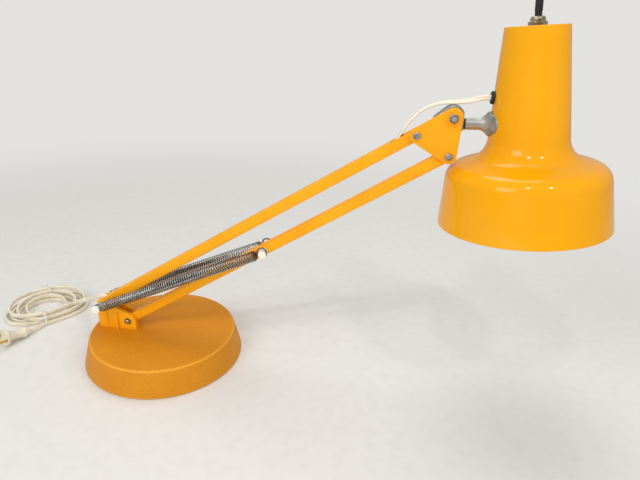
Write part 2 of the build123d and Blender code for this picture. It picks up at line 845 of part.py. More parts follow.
def coil_path():
    """Loops that spiral in on the table and out again on top, as runs and half turns."""
    half = coil_straight / 2
    inner = coil_outer_radius - coil_loops_per_layer * coil_pitch
    inward = [coil_outer_radius - count * coil_pitch / 2 for count in range(2 * coil_loops_per_layer - 1)]
    radii = [*inward, inner, inner, *reversed(inward)]
    place = Vector(coil_start_x, -coil_outer_radius, coil_floor)
    edges = []
    for count, radius in enumerate(radii):
        sign = 1 if count % 2 == 0 else -1
        corner = Vector(sign * half, place.Y, place.Z)
        edges.append(Edge.make_line(place, corner))
        rise = coil_layer_rise if count == len(inward) else 0
        place = corner + Vector(0, sign * 2 * radius, rise)
        edges += biarc(corner, Vector(sign, 0, 0), place, Vector(-sign, 0, 0))
    edges.append(Edge.make_line(place, Vector(coil_end_x, place.Y, place.Z)))
    return Wire(edges)


def corner_radii(points):
    """The largest round that each corner's two runs allow."""
    radii = []
    for before, here, after in zip(points, points[1:], points[2:]):
        turn = math.radians((here - before).get_angle(after - here))
        shorter = min((here - before).length, (after - here).length)
        radii.append(corner_run_share * shorter / math.tan(turn / 2))
    return radii


def lead_path(name, points):
    radii = corner_radii(points)
    print(name, "radii", [round(radius) for radius in radii])
    return FilletPolyline(*points, radius=radii)


def make_lead(name, points):
    path = lead_path(name, points)
    solid = tube(path, lead_diameter)
    print(name, "length", round(path.length, 1), "volume share",
          round(solid.volume / (math.pi * lead_diameter ** 2 / 4 * path.length), 3))
    return solid


coil_wire = coil_place * coil_path()
coil_skip = self_gap_skip_turns * 2 * math.pi * coil_outer_radius
print("coil length", round(coil_wire.length, 1),
      "least self gap", round(least_self_gap(coil_wire, lead_diameter, lead_diameter, coil_skip), 2))

# The lead from the tube's open end, round in the air and down onto the coil's upper layer
mains_route = [
    Vector(-85.3, 0, 64.4), Vector(-93.5, 7.5, 61), Vector(-101, 23, 55), Vector(-109.5, 41, 46.5),
    Vector(-118.5, 58.5, 37), Vector(-126.5, 71.5, 29.5), Vector(-136.5, 79, 24),
    Vector(-148.5, 78.5, 20.5), Vector(-158.5, 70, 19), Vector(-165.4, 58.5, 18.2), Vector(-169.2, 44.6, 15),
    (coil_place * Pos(coil_end_x + coil_lamp_run, -coil_outer_radius, coil_roof)).position,
    coil_wire @ 1,
]
# The lead from the coil's lower layer to the plug's tail
plug_route = [
    coil_wire @ 0,
    (coil_place * Pos(coil_start_x - coil_plug_run, -coil_outer_radius, coil_floor)).position,
    (plug_place * Pos(0, 0, plug_length + plug_exit_run)).position,
    (plug_place * Pos(0, 0, plug_length)).position,
]
# The lead from the slot in the upper bar over the head to the grommet
head_route = [
    Vector(280.5, 0, 299.2), Vector(285, 0, 309), Vector(292, 0, 321), Vector(303, 0, 333.6),
    Vector(319, 0, 341.4), Vector(337, 0, 343.1), Vector(351, 0.5, 342.8),
    (grommet_place() * Pos(0, 0, grommet_lead_run)).position,
    (grommet_place() * Pos(0, 0, grommet_lead_depth)).position,
]


def make_lead_coil():
    return tube(coil_wire, lead_diameter)


def make_coil_ties():
    ties = []
    height = coil_layer_rise + lead_diameter + 2 * tie_gap
    for sign, x, pitches in ((-1, near_tie_x, near_tie_pitches), (1, far_tie_x, far_tie_pitches)):
        span = pitches * coil_pitch + lead_diameter + 2 * tie_gap
        middle = sign * (coil_outer_radius - pitches * coil_pitch / 2)
        band = Rectangle(span + 2 * tie_wall, height + 2 * tie_wall) - Rectangle(span, height)
        band = extrude(Plane.YZ * band, amount=tie_width / 2, both=True)
        ties.append(coil_place * Pos(x, middle, tie_wall + height / 2) * band)
    return Compound(children=ties)


def make_plug_body():
    flange = plug_flange_length
    waist = flange + plug_waist_length
    collar = waist + plug_collar_length
    tail = collar + plug_tail_length
    outline = [
        Line((0, 0), (plug_flange_radius, 0)),
        Line((plug_flange_radius, 0), (plug_flange_radius, flange)),
        TangentArc((plug_waist_radius, waist), (plug_flange_radius, flange), tangent=(0, -1)),
        Line((plug_waist_radius, waist), (plug_collar_radius, waist)),
        Line((plug_collar_radius, waist), (plug_collar_radius, collar)),
        Line((plug_collar_radius, collar), (plug_tail_radius, collar)),
        Line((plug_tail_radius, collar), (plug_tail_radius, tail)),
        Line((plug_tail_radius, tail), (0, tail)),
        Line((0, tail), (0, 0)),
    ]
    body = revolve(Plane.XZ * make_face(outline), Axis.Z)
    socket = standing(plug_pin_radius + seat_gap, -cut_overrun, plug_pin_root)
    for side in (-1, 1):
        body -= Pos(0, side * plug_pin_spacing / 2, 0) * socket
    return plug_place * body


def make_plug_pins():
    pin = standing(plug_pin_radius, -plug_pin_length, plug_pin_root)
    pin = fillet(pin.edges().filter_by(GeomType.CIRCLE).sort_by(Axis.Z)[0], plug_pin_radius / 2)
    places = [plug_place * Pos(0, side * plug_pin_spacing / 2, 0) for side in (-1, 1)]
    return Compound(children=[place * pin for place in places])


parts = {
    "base_cover": make_base_cover(),
    "base_pad": make_base_pad(),
    "base_plate": make_base_plate(),
    "base_ballast": make_base_ballast(),
    "ballast_bolt": ballast_bolt_shape(0),
    "arm_bracket": make_arm_bracket(),
    "bracket_screws": make_bracket_screws(),
    "hinge_screw": make_hinge_screw(),
    "hinge_nut": make_hinge_nut(),
    "anchor_pin": make_pin(anchor, spring_anchor_y),
    "anchor_bushes": make_bushes(anchor, cheek_outer, spring_anchor_y),
    "upper_bar": make_upper_bar(),
    "lower_bar": make_lower_bar(),
    "spring_post": make_pin(post, spring_post_y),
    "post_bushes": make_bushes(post, bar_half, spring_post_y),
    "spring_near": make_spring(-1),
    "spring_far": make_spring(1),
    "spring_hooks": make_spring_hooks(),
    "head_plate": make_head_plate(),
    "head_bolts": make_head_bolts(),
    "head_nuts": make_head_nuts(),
    "tilt_bolt": make_tilt_bolt(),
    "tilt_nut": make_tilt_nut(),
    "tilt_washer": make_tilt_washer(),
    "knuckle": make_knuckle(),
    "friction_washer": make_friction_washer(),
    "shade_stub": make_shade_stub(),
    "stub_screw": make_stub_screw(),
    "stub_nut": make_stub_nut(),
    "shade_shell": make_shade_shell(),
    "lead_grommet": make_lead_grommet(),
    "lampholder": make_lampholder(),
    "bulb_cap": make_bulb_cap(),
    "bulb_glass": make_bulb_glass(),
    "switch_collar": make_switch_collar(),
    "switch_stem": make_switch_stem(),
    "head_lead": make_lead("head lead", head_route),
    "mains_lead": make_lead("mains lead", mains_route),
    "plug_lead": make_lead("plug lead", plug_route),
    "lead_coil": make_lead_coil(),
    "coil_ties": make_coil_ties(),
    "plug_body": make_plug_body(),
    "plug_pins": make_plug_pins(),
}

os.makedirs("parts", exist_ok=True)
for name, solid in parts.items():
    export_step(solid, f"parts/{name}.step")
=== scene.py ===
# %% [markdown]
# A desk lamp with a sprung arm. A round weighted foot carries two square tubes that stay parallel, a pair
# of long springs beside them, and a bell-shaped shade on a cast knuckle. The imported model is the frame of
# this scene: its pivots and boxes place everything below. The outer pieces are modelled again here with
# smooth and rounded surfaces, the flex is laid as a real flex lies, and each surface gets its finish.

# %% Load the lamp
import json
import math

import bpy
import numpy as np
from mathutils import Matrix, Vector


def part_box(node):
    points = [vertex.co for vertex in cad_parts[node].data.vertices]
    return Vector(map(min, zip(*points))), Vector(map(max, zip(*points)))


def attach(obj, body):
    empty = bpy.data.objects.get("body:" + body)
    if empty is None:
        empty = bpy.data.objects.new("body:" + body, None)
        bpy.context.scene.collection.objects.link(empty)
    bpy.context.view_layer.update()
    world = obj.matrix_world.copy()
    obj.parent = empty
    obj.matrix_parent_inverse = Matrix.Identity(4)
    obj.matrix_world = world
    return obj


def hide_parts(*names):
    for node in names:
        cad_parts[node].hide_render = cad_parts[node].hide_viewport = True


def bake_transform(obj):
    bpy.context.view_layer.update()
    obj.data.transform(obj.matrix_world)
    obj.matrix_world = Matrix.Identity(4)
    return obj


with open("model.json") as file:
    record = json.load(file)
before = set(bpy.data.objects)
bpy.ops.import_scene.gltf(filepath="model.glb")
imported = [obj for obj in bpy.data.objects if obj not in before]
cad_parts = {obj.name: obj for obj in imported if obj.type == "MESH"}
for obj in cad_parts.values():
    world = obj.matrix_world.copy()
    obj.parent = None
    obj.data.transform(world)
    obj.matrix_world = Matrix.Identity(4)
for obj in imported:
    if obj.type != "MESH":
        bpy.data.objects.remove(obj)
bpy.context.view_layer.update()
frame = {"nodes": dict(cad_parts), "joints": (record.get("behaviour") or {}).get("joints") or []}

# %% [markdown]
# Every pivot of the arm is known from the joints, so the bars, bushes, bolts and springs need no fitting:
# they are built from these points and directions. The arm moves in the plane y = 0.

# %% Pivots and directions
pivots = {joint["name"]: Vector(joint["pos_m"]) for joint in frame["joints"] if "pos_m" in joint}
axes = {joint["name"]: Vector(joint["axis"]).normalized() for joint in frame["joints"]}
anchor = pivots["arm_lift"]
hinge = pivots["lower_lift"]
upper_end = pivots["head_level"]
tilt = pivots["shade_tilt"]
lower_end = hinge + upper_end - anchor
arm_way = (upper_end - anchor).normalized()
arm_length = (upper_end - anchor).length
post_low, post_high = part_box("spring_post")
post = (post_low + post_high) / 2
near_way = Vector((0, -1, 0))
far_way = Vector((0, 1, 0))
up_way = Vector((0, 0, 1))
shade_way = axes["switch_turn"]
stub_way = axes["shade_swivel"]
stub_root = pivots["shade_swivel"]
print("arm", round(arm_length, 4), "m long, post at", [round(v, 4) for v in post])

# %% [markdown]
# The camera comes first, because all shapes are judged through it. It stands where the photograph was
# taken from: a little left of the shade, above the foot, looking down by 24 degrees with a slight roll.

# %% Camera
camera_place = Vector((0.26911, -0.5603, 0.42935))
camera_yaw = math.radians(6.725)
camera_pitch = math.radians(23.974)
camera_roll = math.radians(1.874)
camera_data = bpy.data.cameras.new("photo_camera")
camera_data.sensor_width = 36
camera_data.lens = 29.82
camera_data.clip_start = 0.01
camera = bpy.data.objects.new("photo_camera", camera_data)
bpy.context.scene.collection.objects.link(camera)
camera.matrix_world = (
    Matrix.Translation(camera_place)
    @ Matrix.Rotation(camera_yaw, 4, "Z")
    @ Matrix.Rotation(math.pi / 2 - camera_pitch, 4, "X")
    @ Matrix.Rotation(camera_roll, 4, "Z")
)
bpy.context.scene.camera = camera
print("camera at", [round(v, 3) for v in camera_place])

# %% [markdown]
# A finish is a Principled shader with nodes in front of some of its sockets. Tone wraps one socket, so
# that sums can be written as in arithmetic, and Finish.node adds any other node with its settings first
# and its sockets after. What is the same all over a surface is set on the shader's own socket.

# %% Shader tools
class Tone:
    """A number or colour that leaves a node's socket."""

    def __init__(self, finish, socket):
        self.finish = finish
        self.socket = socket

    def maths(self, operation, first, second):
        return self.finish.node("ShaderNodeMath", {"operation": operation}, {0: first, 1: second})

    def __add__(self, other):
        return self.maths("ADD", self, other)

    def __radd__(self, other):
        return self.maths("ADD", other, self)

    def __rsub__(self, other):
        return self.maths("SUBTRACT", other, self)

    def __mul__(self, other):
        return self.maths("MULTIPLY", self, other)


class Finish:
    """One material on its first shader, or a world, with constants given by socket name."""

    def __init__(self, name, owners=bpy.data.materials, shader="Principled BSDF", **constants):
        self.material = owners.new(name)
        self.material.use_nodes = True
        self.tree = self.material.node_tree
        self.shader = self.tree.nodes[shader]
        for socket, value in constants.items():
            self.feed(self.shader.inputs[socket.replace("_", " ")], value)
        self.place = self.node("ShaderNodeTexCoord", out="Object")

    def feed(self, socket, value):
        if isinstance(value, Tone):
            self.tree.links.new(value.socket, socket)
        else:
            socket.default_value = value

    def node(self, kind, settings=None, sockets=None, out=0):
        made = self.tree.nodes.new(kind)
        for name, value in (settings or {}).items():
            setattr(made, name, value)
        for key, value in (sockets or {}).items():
            self.feed(made.inputs[key], value)
        return Tone(self, made.outputs[out])

    def grain(self, scale, detail, stretch=None):
        """Noise on the piece's own coordinates, drawn out where a stretch is given."""
        place = self.place
        if stretch:
            place = self.node("ShaderNodeMapping", sockets={"Vector": place, "Scale": stretch})
        return self.node("ShaderNodeTexNoise", sockets={"Vector": place, "Scale": scale, "Detail": detail})

    def between(self, low, high, tone):
        """A share from 0 to 1 as a tone goes from low to high."""
        return self.node("ShaderNodeMapRange", {"interpolation_type": "SMOOTHSTEP"},
                         {"Value": tone, "From Min": low, "From Max": high})

    def mixed(self, share, first, second):
        return self.node("ShaderNodeMix", {"data_type": "RGBA"}, {0: share, 6: first, 7: second}, out=2)

    def wear(self, **tones):
        for socket, tone in tones.items():
            self.feed(self.shader.inputs[socket.replace("_", " ")], tone)

    def bump(self, height, depth, strength):
        self.wear(Normal=self.node("ShaderNodeBump",
                                   sockets={"Height": height, "Distance": depth, "Strength": strength}))

    def shown(self, share, other, output):
        """Let another shader take a share of what an output shows."""
        own = Tone(self, self.shader.outputs[0])
        both = self.node("ShaderNodeMixShader", sockets={0: share, 1: own, 2: other})
        self.feed(self.tree.nodes[output].inputs["Surface"], both)


def screen_colour(red, green, blue):
    """A colour as a screen shows it, 0 to 255, turned into the light that it stands for."""
    light = []
    for value in (red, green, blue):
        part = value / 255
        light.append(part / 12.92 if part <= 0.04045 else ((part + 0.055) / 1.055) ** 2.4)
    return (*light, 1.0)


print("shader tools ready")

# %% [markdown]
# The painted metal comes in three finishes. The foot and bracket have a matt ochre coat with a fine
# leathery grain. The tubes and head plate are satin yellow. The shade is glossy enamel with the faint
# orange peel of sprayed paint, white inside so that it throws the light down. A row of the table gives the
# coat, its colour, its colour where it is pitted, worn or deep, and its roughness.

# %% Paint finishes
leather_depth = 0.00042
satin_depth = 0.00008
peel_depth = 0.00006
finishes = {}


def grained_paint(name, colour, pit_colour, roughness):
    paint = Finish(name, Coat_Weight=0.05, Coat_Roughness=0.45, Specular_IOR_Level=0.2)
    grain = paint.grain(780, 3.0)
    patch = paint.grain(16, 3.0)
    pits = paint.between(0.36, 0.62, grain)
    paint.skin = paint.mixed(pits * 0.42 + patch * 0.5, screen_colour(*pit_colour), screen_colour(*colour))
    paint.wear(Base_Color=paint.skin, Roughness=roughness + patch * 0.16)
    paint.bump(grain, leather_depth, 0.55)
    return paint


def satin_paint(name, colour, worn_colour, roughness):
    paint = Finish(name, Coat_Weight=0.06, Coat_Roughness=0.3, Specular_IOR_Level=0.15)
    patch = paint.grain(30, 4.0)
    speck = paint.between(0.68, 0.76, paint.grain(420, 2.0))
    worn_share = paint.between(0.35, 0.75, patch) * 0.45 + speck * 0.25
    paint.wear(Base_Color=paint.mixed(worn_share, screen_colour(*colour), screen_colour(*worn_colour)),
               Roughness=roughness + patch * 0.16 + speck * 0.1)
    paint.bump(paint.grain(520, 1.0), satin_depth, 0.5)
    return paint


def gloss_enamel(name, colour, deep_colour, roughness):
    paint = Finish(name, Coat_Weight=0.4, Coat_Roughness=0.03, Specular_IOR_Level=0.08)
    patch = paint.grain(12, 3.0)
    dust = paint.between(0.55, 0.8, paint.grain(260, 3.0))
    deep_share = paint.between(0.3, 0.75, patch) * 0.5
    paint.wear(Base_Color=paint.mixed(deep_share, screen_colour(*colour), screen_colour(*deep_colour)),
               Roughness=roughness + dust * 0.1 + patch * 0.06)
    paint.bump(paint.grain(170, 1.0), peel_depth, 0.35)
    return paint


paints = {
    "foot paint": (grained_paint, (224, 150, 30), (198, 121, 11), 0.44),
    "bracket paint": (grained_paint, (254, 180, 26), (240, 158, 12), 0.4),
    "arm paint": (satin_paint, (250, 172, 22), (236, 152, 10), 0.3),
    "shade enamel": (gloss_enamel, (242, 169, 7), (234, 156, 4), 0.17),
    "white enamel": (gloss_enamel, (238, 236, 228), (226, 223, 212), 0.3),
}
for name, (coat, *look) in paints.items():
    finishes[name] = coat(name, *look)
print(len(paints), "paints")

# %% [markdown]
# Bare metal differs by how it was made. The springs are drawn wire with a grey oil film, the knuckle and
# stub are sand-cast and tumbled, the bolts are zinc plated, and the collar is aged nickel. A row gives the
# colour, the stain's colour, the roughness, the grain's scale and depth, and for the casting its stretch.

# %% Metal finishes
def bare_metal(name, colour, stain_colour, roughness, grain_scale, grain_depth, stretch=None):
    metal = Finish(name, Metallic=1.0)
    stain = metal.grain(90, 4.0)
    grain = metal.grain(grain_scale, 2.0, stretch)
    stain_share = metal.between(0.42, 0.72, stain)
    metal.wear(Base_Color=metal.mixed(stain_share, screen_colour(*colour), screen_colour(*stain_colour)),
               Roughness=roughness + stain * 0.16 + grain * 0.08)
    metal.bump(grain, grain_depth, 0.6)
    return metal


metals = {
    "spring steel": ((180, 180, 175), (150, 148, 141), 0.16, 900, 0.00003),
    "hook steel": ((150, 128, 100), (98, 76, 52), 0.34, 800, 0.00004),
    "cast grey": ((186, 186, 180), (152, 152, 146), 0.38, 700, 0.00016, (0.35, 1.0, 1.0)),
    "zinc": ((196, 196, 192), (150, 148, 142), 0.28, 600, 0.00005),
    "aged nickel": ((190, 178, 150), (128, 112, 80), 0.24, 500, 0.00004),
    "pin brass": ((214, 176, 96), (170, 132, 60), 0.26, 500, 0.00003),
    "iron": ((92, 90, 88), (70, 62, 56), 0.5, 300, 0.0002),
    "bulb metal": ((200, 198, 192), (168, 164, 156), 0.26, 500, 0.00003),
}
for name, look in metals.items():
    finishes[name] = bare_metal(name, *look)
print(len(metals), "metals")

# %% [markdown]
# Plastics yellow and collect grime. The bushes are still nearly white, the flex and the plug are ivory, and
# the grommet, washer and switch stem are black. The painted shade inside a spring is made like a dark
# one. A row gives the colour, the grime's colour and the roughness, then the grain and the clear coat.

# %% Plastic finishes
def plastic(name, colour, grime_colour, roughness, grain_scale=300, grain_depth=0.00005, coat=0.0):
    made = Finish(name, Coat_Weight=coat)
    grime = made.grain(70, 4.0)
    grain = made.grain(grain_scale, 2.0)
    grime_share = made.between(0.4, 0.78, grime) * 0.7
    made.wear(Base_Color=made.mixed(grime_share, screen_colour(*colour), screen_colour(*grime_colour)),
              Roughness=roughness + grime * 0.14)
    made.bump(grain, grain_depth, 0.5)
    return made


plastics = {
    "white plastic": ((248, 245, 235), (230, 224, 206), 0.32),
    "lead plastic": ((238, 229, 208), (216, 203, 176), 0.38, 420, 0.00012),
    "plug plastic": ((228, 220, 198), (202, 190, 162), 0.4, 380, 0.0001),
    "tie plastic": ((232, 230, 222), (204, 200, 188), 0.35),
    "holder plastic": ((232, 228, 216), (206, 198, 180), 0.36),
    "black rubber": ((32, 32, 33), (48, 46, 44), 0.55, 500, 0.00012),
    "black plastic": ((24, 24, 26), (40, 39, 38), 0.34),
    "felt": ((58, 56, 54), (84, 80, 76), 0.9, 900, 0.0006),
    "bulb opal": ((240, 239, 234), (230, 228, 220), 0.22, 200, 0.00002, 0.5),
    # painted shade for the side of the spring wire that faces the axis
    "painted spring shade": ((34, 32, 30), (52, 46, 40), 0.5, 700, 0.00004),
}
for name, look in plastics.items():
    finishes[name] = plastic(name, *look)
print(len(plastics), "plastics")

# %% [markdown]
# The mesh tools work on what is selected, so each piece is selected alone. A finished piece has its place in
# its mesh, and its object stays at the origin.

# %% Selecting and placing
at_origin = Matrix.Identity(4)


def only(*objects):
    """Select these objects and nothing else."""
    bpy.ops.object.select_all(action="DESELECT")
    for obj in objects:
        obj.select_set(True)
    bpy.context.view_layer.objects.active = objects[0]


def linked(name, data):
    """A new object in the scene."""
    obj = bpy.data.objects.new(name, data)
    bpy.context.scene.collection.objects.link(obj)
    return obj


def stand(origin, way, front=up_way):
    """A placing matrix whose Z runs along a way and whose X is as near as can be to the front."""
    z = Vector(way).normalized()
    x = (Vector(front) - z * z.dot(Vector(front))).normalized()
    y = z.cross(x)
    return Matrix.Translation(origin) @ Matrix((x, y, z)).transposed().to_4x4()


def settle(obj, place):
    """Bring a piece to its place and leave the place in its mesh."""
    obj.matrix_basis = place @ obj.matrix_basis
    only(obj)
    bpy.ops.object.transform_apply(location=True, rotation=True, scale=True)
    return obj


def edit_all(obj):
    """Go into edit mode with the whole of a piece's mesh selected."""
    only(obj)
    bpy.ops.object.mode_set(mode="EDIT")
    bpy.ops.mesh.select_all(action="SELECT")


def end_edit(obj):
    """Turn every face of a piece to the outside and leave edit mode."""
    bpy.ops.mesh.select_all(action="SELECT")
    bpy.ops.mesh.normals_make_consistent(inside=False)
    bpy.ops.object.mode_set(mode="OBJECT")
    return obj


print("selecting and placing ready")

# %% [markdown]
# An outline is drawn by extruding one vertex from corner to corner, then spun round the Z axis as on a lathe.
# Round corners of an outline are arcs.

# %% Outlines and the lathe
seed_size = 0.001
weld_gap = 0.000002


def rounded(corners, arc_steps=8):
    """A half outline from corners (radius, height, round), with the rounds drawn as arcs."""
    outline = []
    for index, (radius, height, round_radius) in enumerate(corners):
        here = Vector((radius, height))
        if not round_radius:
            outline.append((radius, height))
            continue
        before = (Vector(corners[index - 1][:2]) - here).normalized()
        after = (Vector(corners[index + 1][:2]) - here).normalized()
        half = before.angle(after) / 2
        centre = here + (before + after).normalized() * (round_radius / math.sin(half))
        start = here + before * (round_radius / math.tan(half)) - centre
        end = here + after * (round_radius / math.tan(half)) - centre
        first = math.atan2(start.y, start.x)
        swing = (math.atan2(end.y, end.x) - first + math.pi) % (2 * math.pi) - math.pi
        for step in range(arc_steps + 1):
            angle = first + swing * step / arc_steps
            outline.append((centre.x + round_radius * math.cos(angle),
                            centre.y + round_radius * math.sin(angle)))
    return outline


def lathe(name, outline, place, steps):
    """Spin a half outline of (radius, height) points about Z and set it in its place."""
    bpy.ops.mesh.primitive_plane_add(size=seed_size)
    obj = bpy.context.object
    obj.name = name
    edit_all(obj)
    bpy.ops.mesh.merge(type="CENTER")
    radius, height = outline[0]
    bpy.ops.transform.translate(value=(radius, 0, height))
    for next_radius, next_height in outline[1:]:
        shift = (next_radius - radius, 0, next_height - height)
        bpy.ops.mesh.extrude_vertices_move(TRANSFORM_OT_translate={"value": shift})
        radius, height = next_radius, next_height
    bpy.ops.mesh.select_all(action="SELECT")
    bpy.ops.mesh.spin(steps=steps, angle=2 * math.pi, center=(0, 0, 0), axis=(0, 0, 1))
    bpy.ops.mesh.select_all(action="SELECT")
    bpy.ops.mesh.remove_doubles(threshold=weld_gap)
    return settle(end_edit(obj), place)


print("lathe ready")

# %% [markdown]
# The other tools round edges, cut holes and join meshes, and give a piece its finish and its body.

# %% Edges, holes and finishes
flat_angle = math.radians(0.5)


def soften(obj, width, angle):
    """Round the sharp edges of a piece with a bevel."""
    bevel = obj.modifiers.new("rounded edges", "BEVEL")
    bevel.width = width
    bevel.segments = 3
    bevel.limit_method = "ANGLE"
    bevel.angle_limit = math.radians(angle)
    only(obj)
    bpy.ops.object.modifier_apply(modifier=bevel.name)
    return obj


def cut(obj, cutter, operation="DIFFERENCE"):
    """Take one shape out of another, or keep what they share, and put the cutter away."""
    hole = obj.modifiers.new("hole", "BOOLEAN")
    hole.operation = operation
    hole.solver = "MANIFOLD"
    hole.object = cutter
    only(obj)
    bpy.ops.object.modifier_apply(modifier=hole.name)
    bpy.data.objects.remove(cutter)
    return obj


def joined(name, *objects):
    """Make one piece of several meshes."""
    only(*objects)
    bpy.ops.object.join()
    objects[0].name = name
    return objects[0]


def merged_copy(node):
    """A copy of a node's solid with its loose triangles joined into faces, to be shaped further."""
    obj = linked(node + "_shaped", frame["nodes"][node].data.copy())
    edit_all(obj)
    bpy.ops.mesh.remove_doubles(threshold=weld_gap)
    bpy.ops.mesh.dissolve_limited(angle_limit=flat_angle)
    bpy.ops.object.mode_set(mode="OBJECT")
    return obj


def dress(obj, finish, angle=35):
    """Smooth a piece up to an angle and give it its finish."""
    only(obj)
    bpy.ops.object.shade_smooth_by_angle(angle=math.radians(angle))
    obj.data.materials.clear()
    obj.data.materials.append(finishes[finish].material)
    return obj


def mount(obj, body, node):
    """Let a piece ride on a body and stand for one of its nodes."""
    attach(obj, body)
    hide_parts(node)
    print(obj.name, "on", body, len(obj.data.polygons), "faces")
    return obj


print("mesh tools ready")

# %% [markdown]
# The flex is flat twin lead: two cores side by side in one ivory jacket, with a groove between them. Its
# route is a NURBS line led by a few chosen points, as a cord finds its way in the air and on the table.
# The section is swept along points read from that line, with its wide side held towards a given way.

# %% Flat twin flex
flex_width = 0.0056
flex_thickness = 0.0036
groove_share = 0.55
groove_spread_share = 0.13
section_power = 0.8
section_count = 18


def nurbs_object(name, route, fineness, closed=False):
    """A smooth NURBS line that a route's points control."""
    curve = bpy.data.curves.new(name, "CURVE")
    curve.dimensions = "3D"
    curve.resolution_u = fineness
    spline = curve.splines.new("NURBS")
    spline.points.add(len(route) - 1)
    for point, place in zip(spline.points, route):
        point.co = (*place, 1)
    spline.order_u = 3
    spline.use_cyclic_u = closed
    spline.use_endpoint_u = not closed
    spline.resolution_u = fineness
    return linked(name, curve)


def laid_line(route, fineness):
    """Points along the NURBS line of a route."""
    holder = nurbs_object("route", route, fineness)
    mesh = bpy.data.meshes.new_from_object(holder)
    line = np.array([vertex.co for vertex in mesh.vertices])
    bpy.data.meshes.remove(mesh)
    bpy.data.objects.remove(holder)
    return line


def run_along(line):
    """Distance from the start of a line to each of its points."""
    return np.concatenate([[0], np.cumsum(np.linalg.norm(np.diff(line, axis=0), axis=1))])


def unit(rows):
    """Each row of an array as a direction."""
    return rows / np.linalg.norm(rows, axis=1)[:, None]


def flat_flex(name, line, wide_ways):
    """Sweep the twin section along a line, its wide side along the given ways."""
    angles = np.linspace(0, 2 * math.pi, section_count, endpoint=False)
    wide = flex_width / 2 * np.cos(angles)
    groove = 1 - groove_share * np.exp(-(wide / (groove_spread_share * flex_width)) ** 2)
    thick = flex_thickness / 2 * np.sign(np.sin(angles)) * np.abs(np.sin(angles)) ** section_power * groove
    run = unit(np.gradient(line, axis=0))
    side = unit(wide_ways - run * np.sum(run * wide_ways, axis=1)[:, None])
    face = np.cross(run, side)
    rings = line[:, None] + side[:, None] * wide[None, :, None] + face[:, None] * thick[None, :, None]
    faces = []
    for ring in range(len(line) - 1):
        first = ring * section_count
        second = first + section_count
        for corner in range(section_count):
            after = (corner + 1) % section_count
            faces.append((first + corner, first + after, second + after, second + corner))
    last = (len(line) - 1) * section_count
    faces.append(tuple(reversed(range(section_count))))
    faces.append(tuple(range(last, last + section_count)))
    mesh = bpy.data.meshes.new(name)
    mesh.from_pydata(rings.reshape(-1, 3).tolist(), [], faces)
    obj = linked(name, mesh)
    edit_all(obj)
    return dress(end_edit(obj), "lead plastic", 60)


print("flex section", flex_width, "by", flex_thickness)

# %% [markdown]
# The mains flex leaves a slot near the lower end of the upper tube, swings round in the air and comes down
# onto its own coil. The coil is wound by hand: seven loops of differing size that fan out at both ends, drawn
# together where the two ties hold them. Each row of the table gives where a loop passes on its left, far,
# right and near side, with its height there, in the coil's own frame.

# %% Mains flex with its coil
coil_centre = Vector((-0.209, 0.063, 0))
coil_heading = math.radians(41)
coil_place = Matrix.Translation(coil_centre) @ Matrix.Rotation(coil_heading, 4, "Z")
coil_fullness = 0.88
points_per_quarter = 3
coil_entry = (-0.0330, 0.0146)
coil_turns = [
    ((-0.0500, 0.0138), (0.0405, 0.0160), (0.0530, 0.0110), (-0.0370, 0.0083)),
    ((-0.0400, 0.0084), (0.0345, 0.0135), (0.0400, 0.0095), (-0.0322, 0.0083)),
    ((-0.0280, 0.0083), (0.0285, 0.0105), (0.0255, 0.0083), (-0.0275, 0.0083)),
    ((-0.0290, 0.0042), (0.0275, 0.0028), (0.0265, 0.0028), (-0.0262, 0.0028)),
    ((-0.0390, 0.0028), (0.0325, 0.0028), (0.0385, 0.0028), (-0.0308, 0.0028)),
    ((-0.0485, 0.0028), (0.0375, 0.0028), (0.0500, 0.0028), (-0.0356, 0.0028)),
    ((-0.0562, 0.0028), (0.0425, 0.0028), (0.0575, 0.0028), (-0.0410, 0.0028)),
]


def quarter(x, y, from_height, to_height, from_x_side):
    """Control points of a quarter loop, up to but not at its end."""
    points = []
    for step in range(points_per_quarter):
        share = step / points_per_quarter
        rising = math.sin(share * math.pi / 2) ** coil_fullness
        falling = math.cos(share * math.pi / 2) ** coil_fullness
        along, across = (falling, rising) if from_x_side else (rising, falling)
        height = from_height + (to_height - from_height) * share
        points.append(coil_place @ Vector((x * along, y * across, height)))
    return points


def coil_route():
    """Control points of all loops, from the entry to the end of the last one."""
    points = []
    near, near_height = coil_entry
    for (left, left_z), (far, far_z), (right, right_z), (next_near, next_z) in coil_turns:
        points += quarter(left, near, near_height, left_z, False)
        points += quarter(left, far, left_z, far_z, True)
        points += quarter(right, far, far_z, right_z, False)
        points += quarter(right, next_near, right_z, next_z, True)
        near, near_height = next_near, next_z
    return points + [coil_place @ Vector((0, near, near_height))]


flex_fineness = 6
down_route = [
    Vector((-0.0700, 0.0, 0.0738)), Vector((-0.0755, 0.0, 0.0741)), Vector((-0.0872, 0.0028, 0.0718)),
    Vector((-0.0965, 0.0132, 0.0625)), Vector((-0.1075, 0.0265, 0.0533)), Vector((-0.1190, 0.0400, 0.0438)),
    Vector((-0.1310, 0.0543, 0.0339)), Vector((-0.1439, 0.0689, 0.0233)), Vector((-0.1557, 0.0717, 0.0179)),
    Vector((-0.1671, 0.0674, 0.0150)), Vector((-0.1744, 0.0574, 0.0148)), Vector((-0.1810, 0.0476, 0.0146)),
]
plug_route = [
    coil_place @ Vector((-0.0110, -0.0418, 0.0028)),
    Vector((-0.1919, 0.0088, 0.0051)), Vector((-0.1965, 0.0001, 0.0068)),
]
mains_line = laid_line(down_route + coil_route() + plug_route, flex_fineness)
mains_flex = flat_flex("mains_flex", mains_line, np.tile(np.array(up_way), (len(mains_line), 1)))
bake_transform(mains_flex)
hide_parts("mains_lead", "lead_coil", "plug_lead")
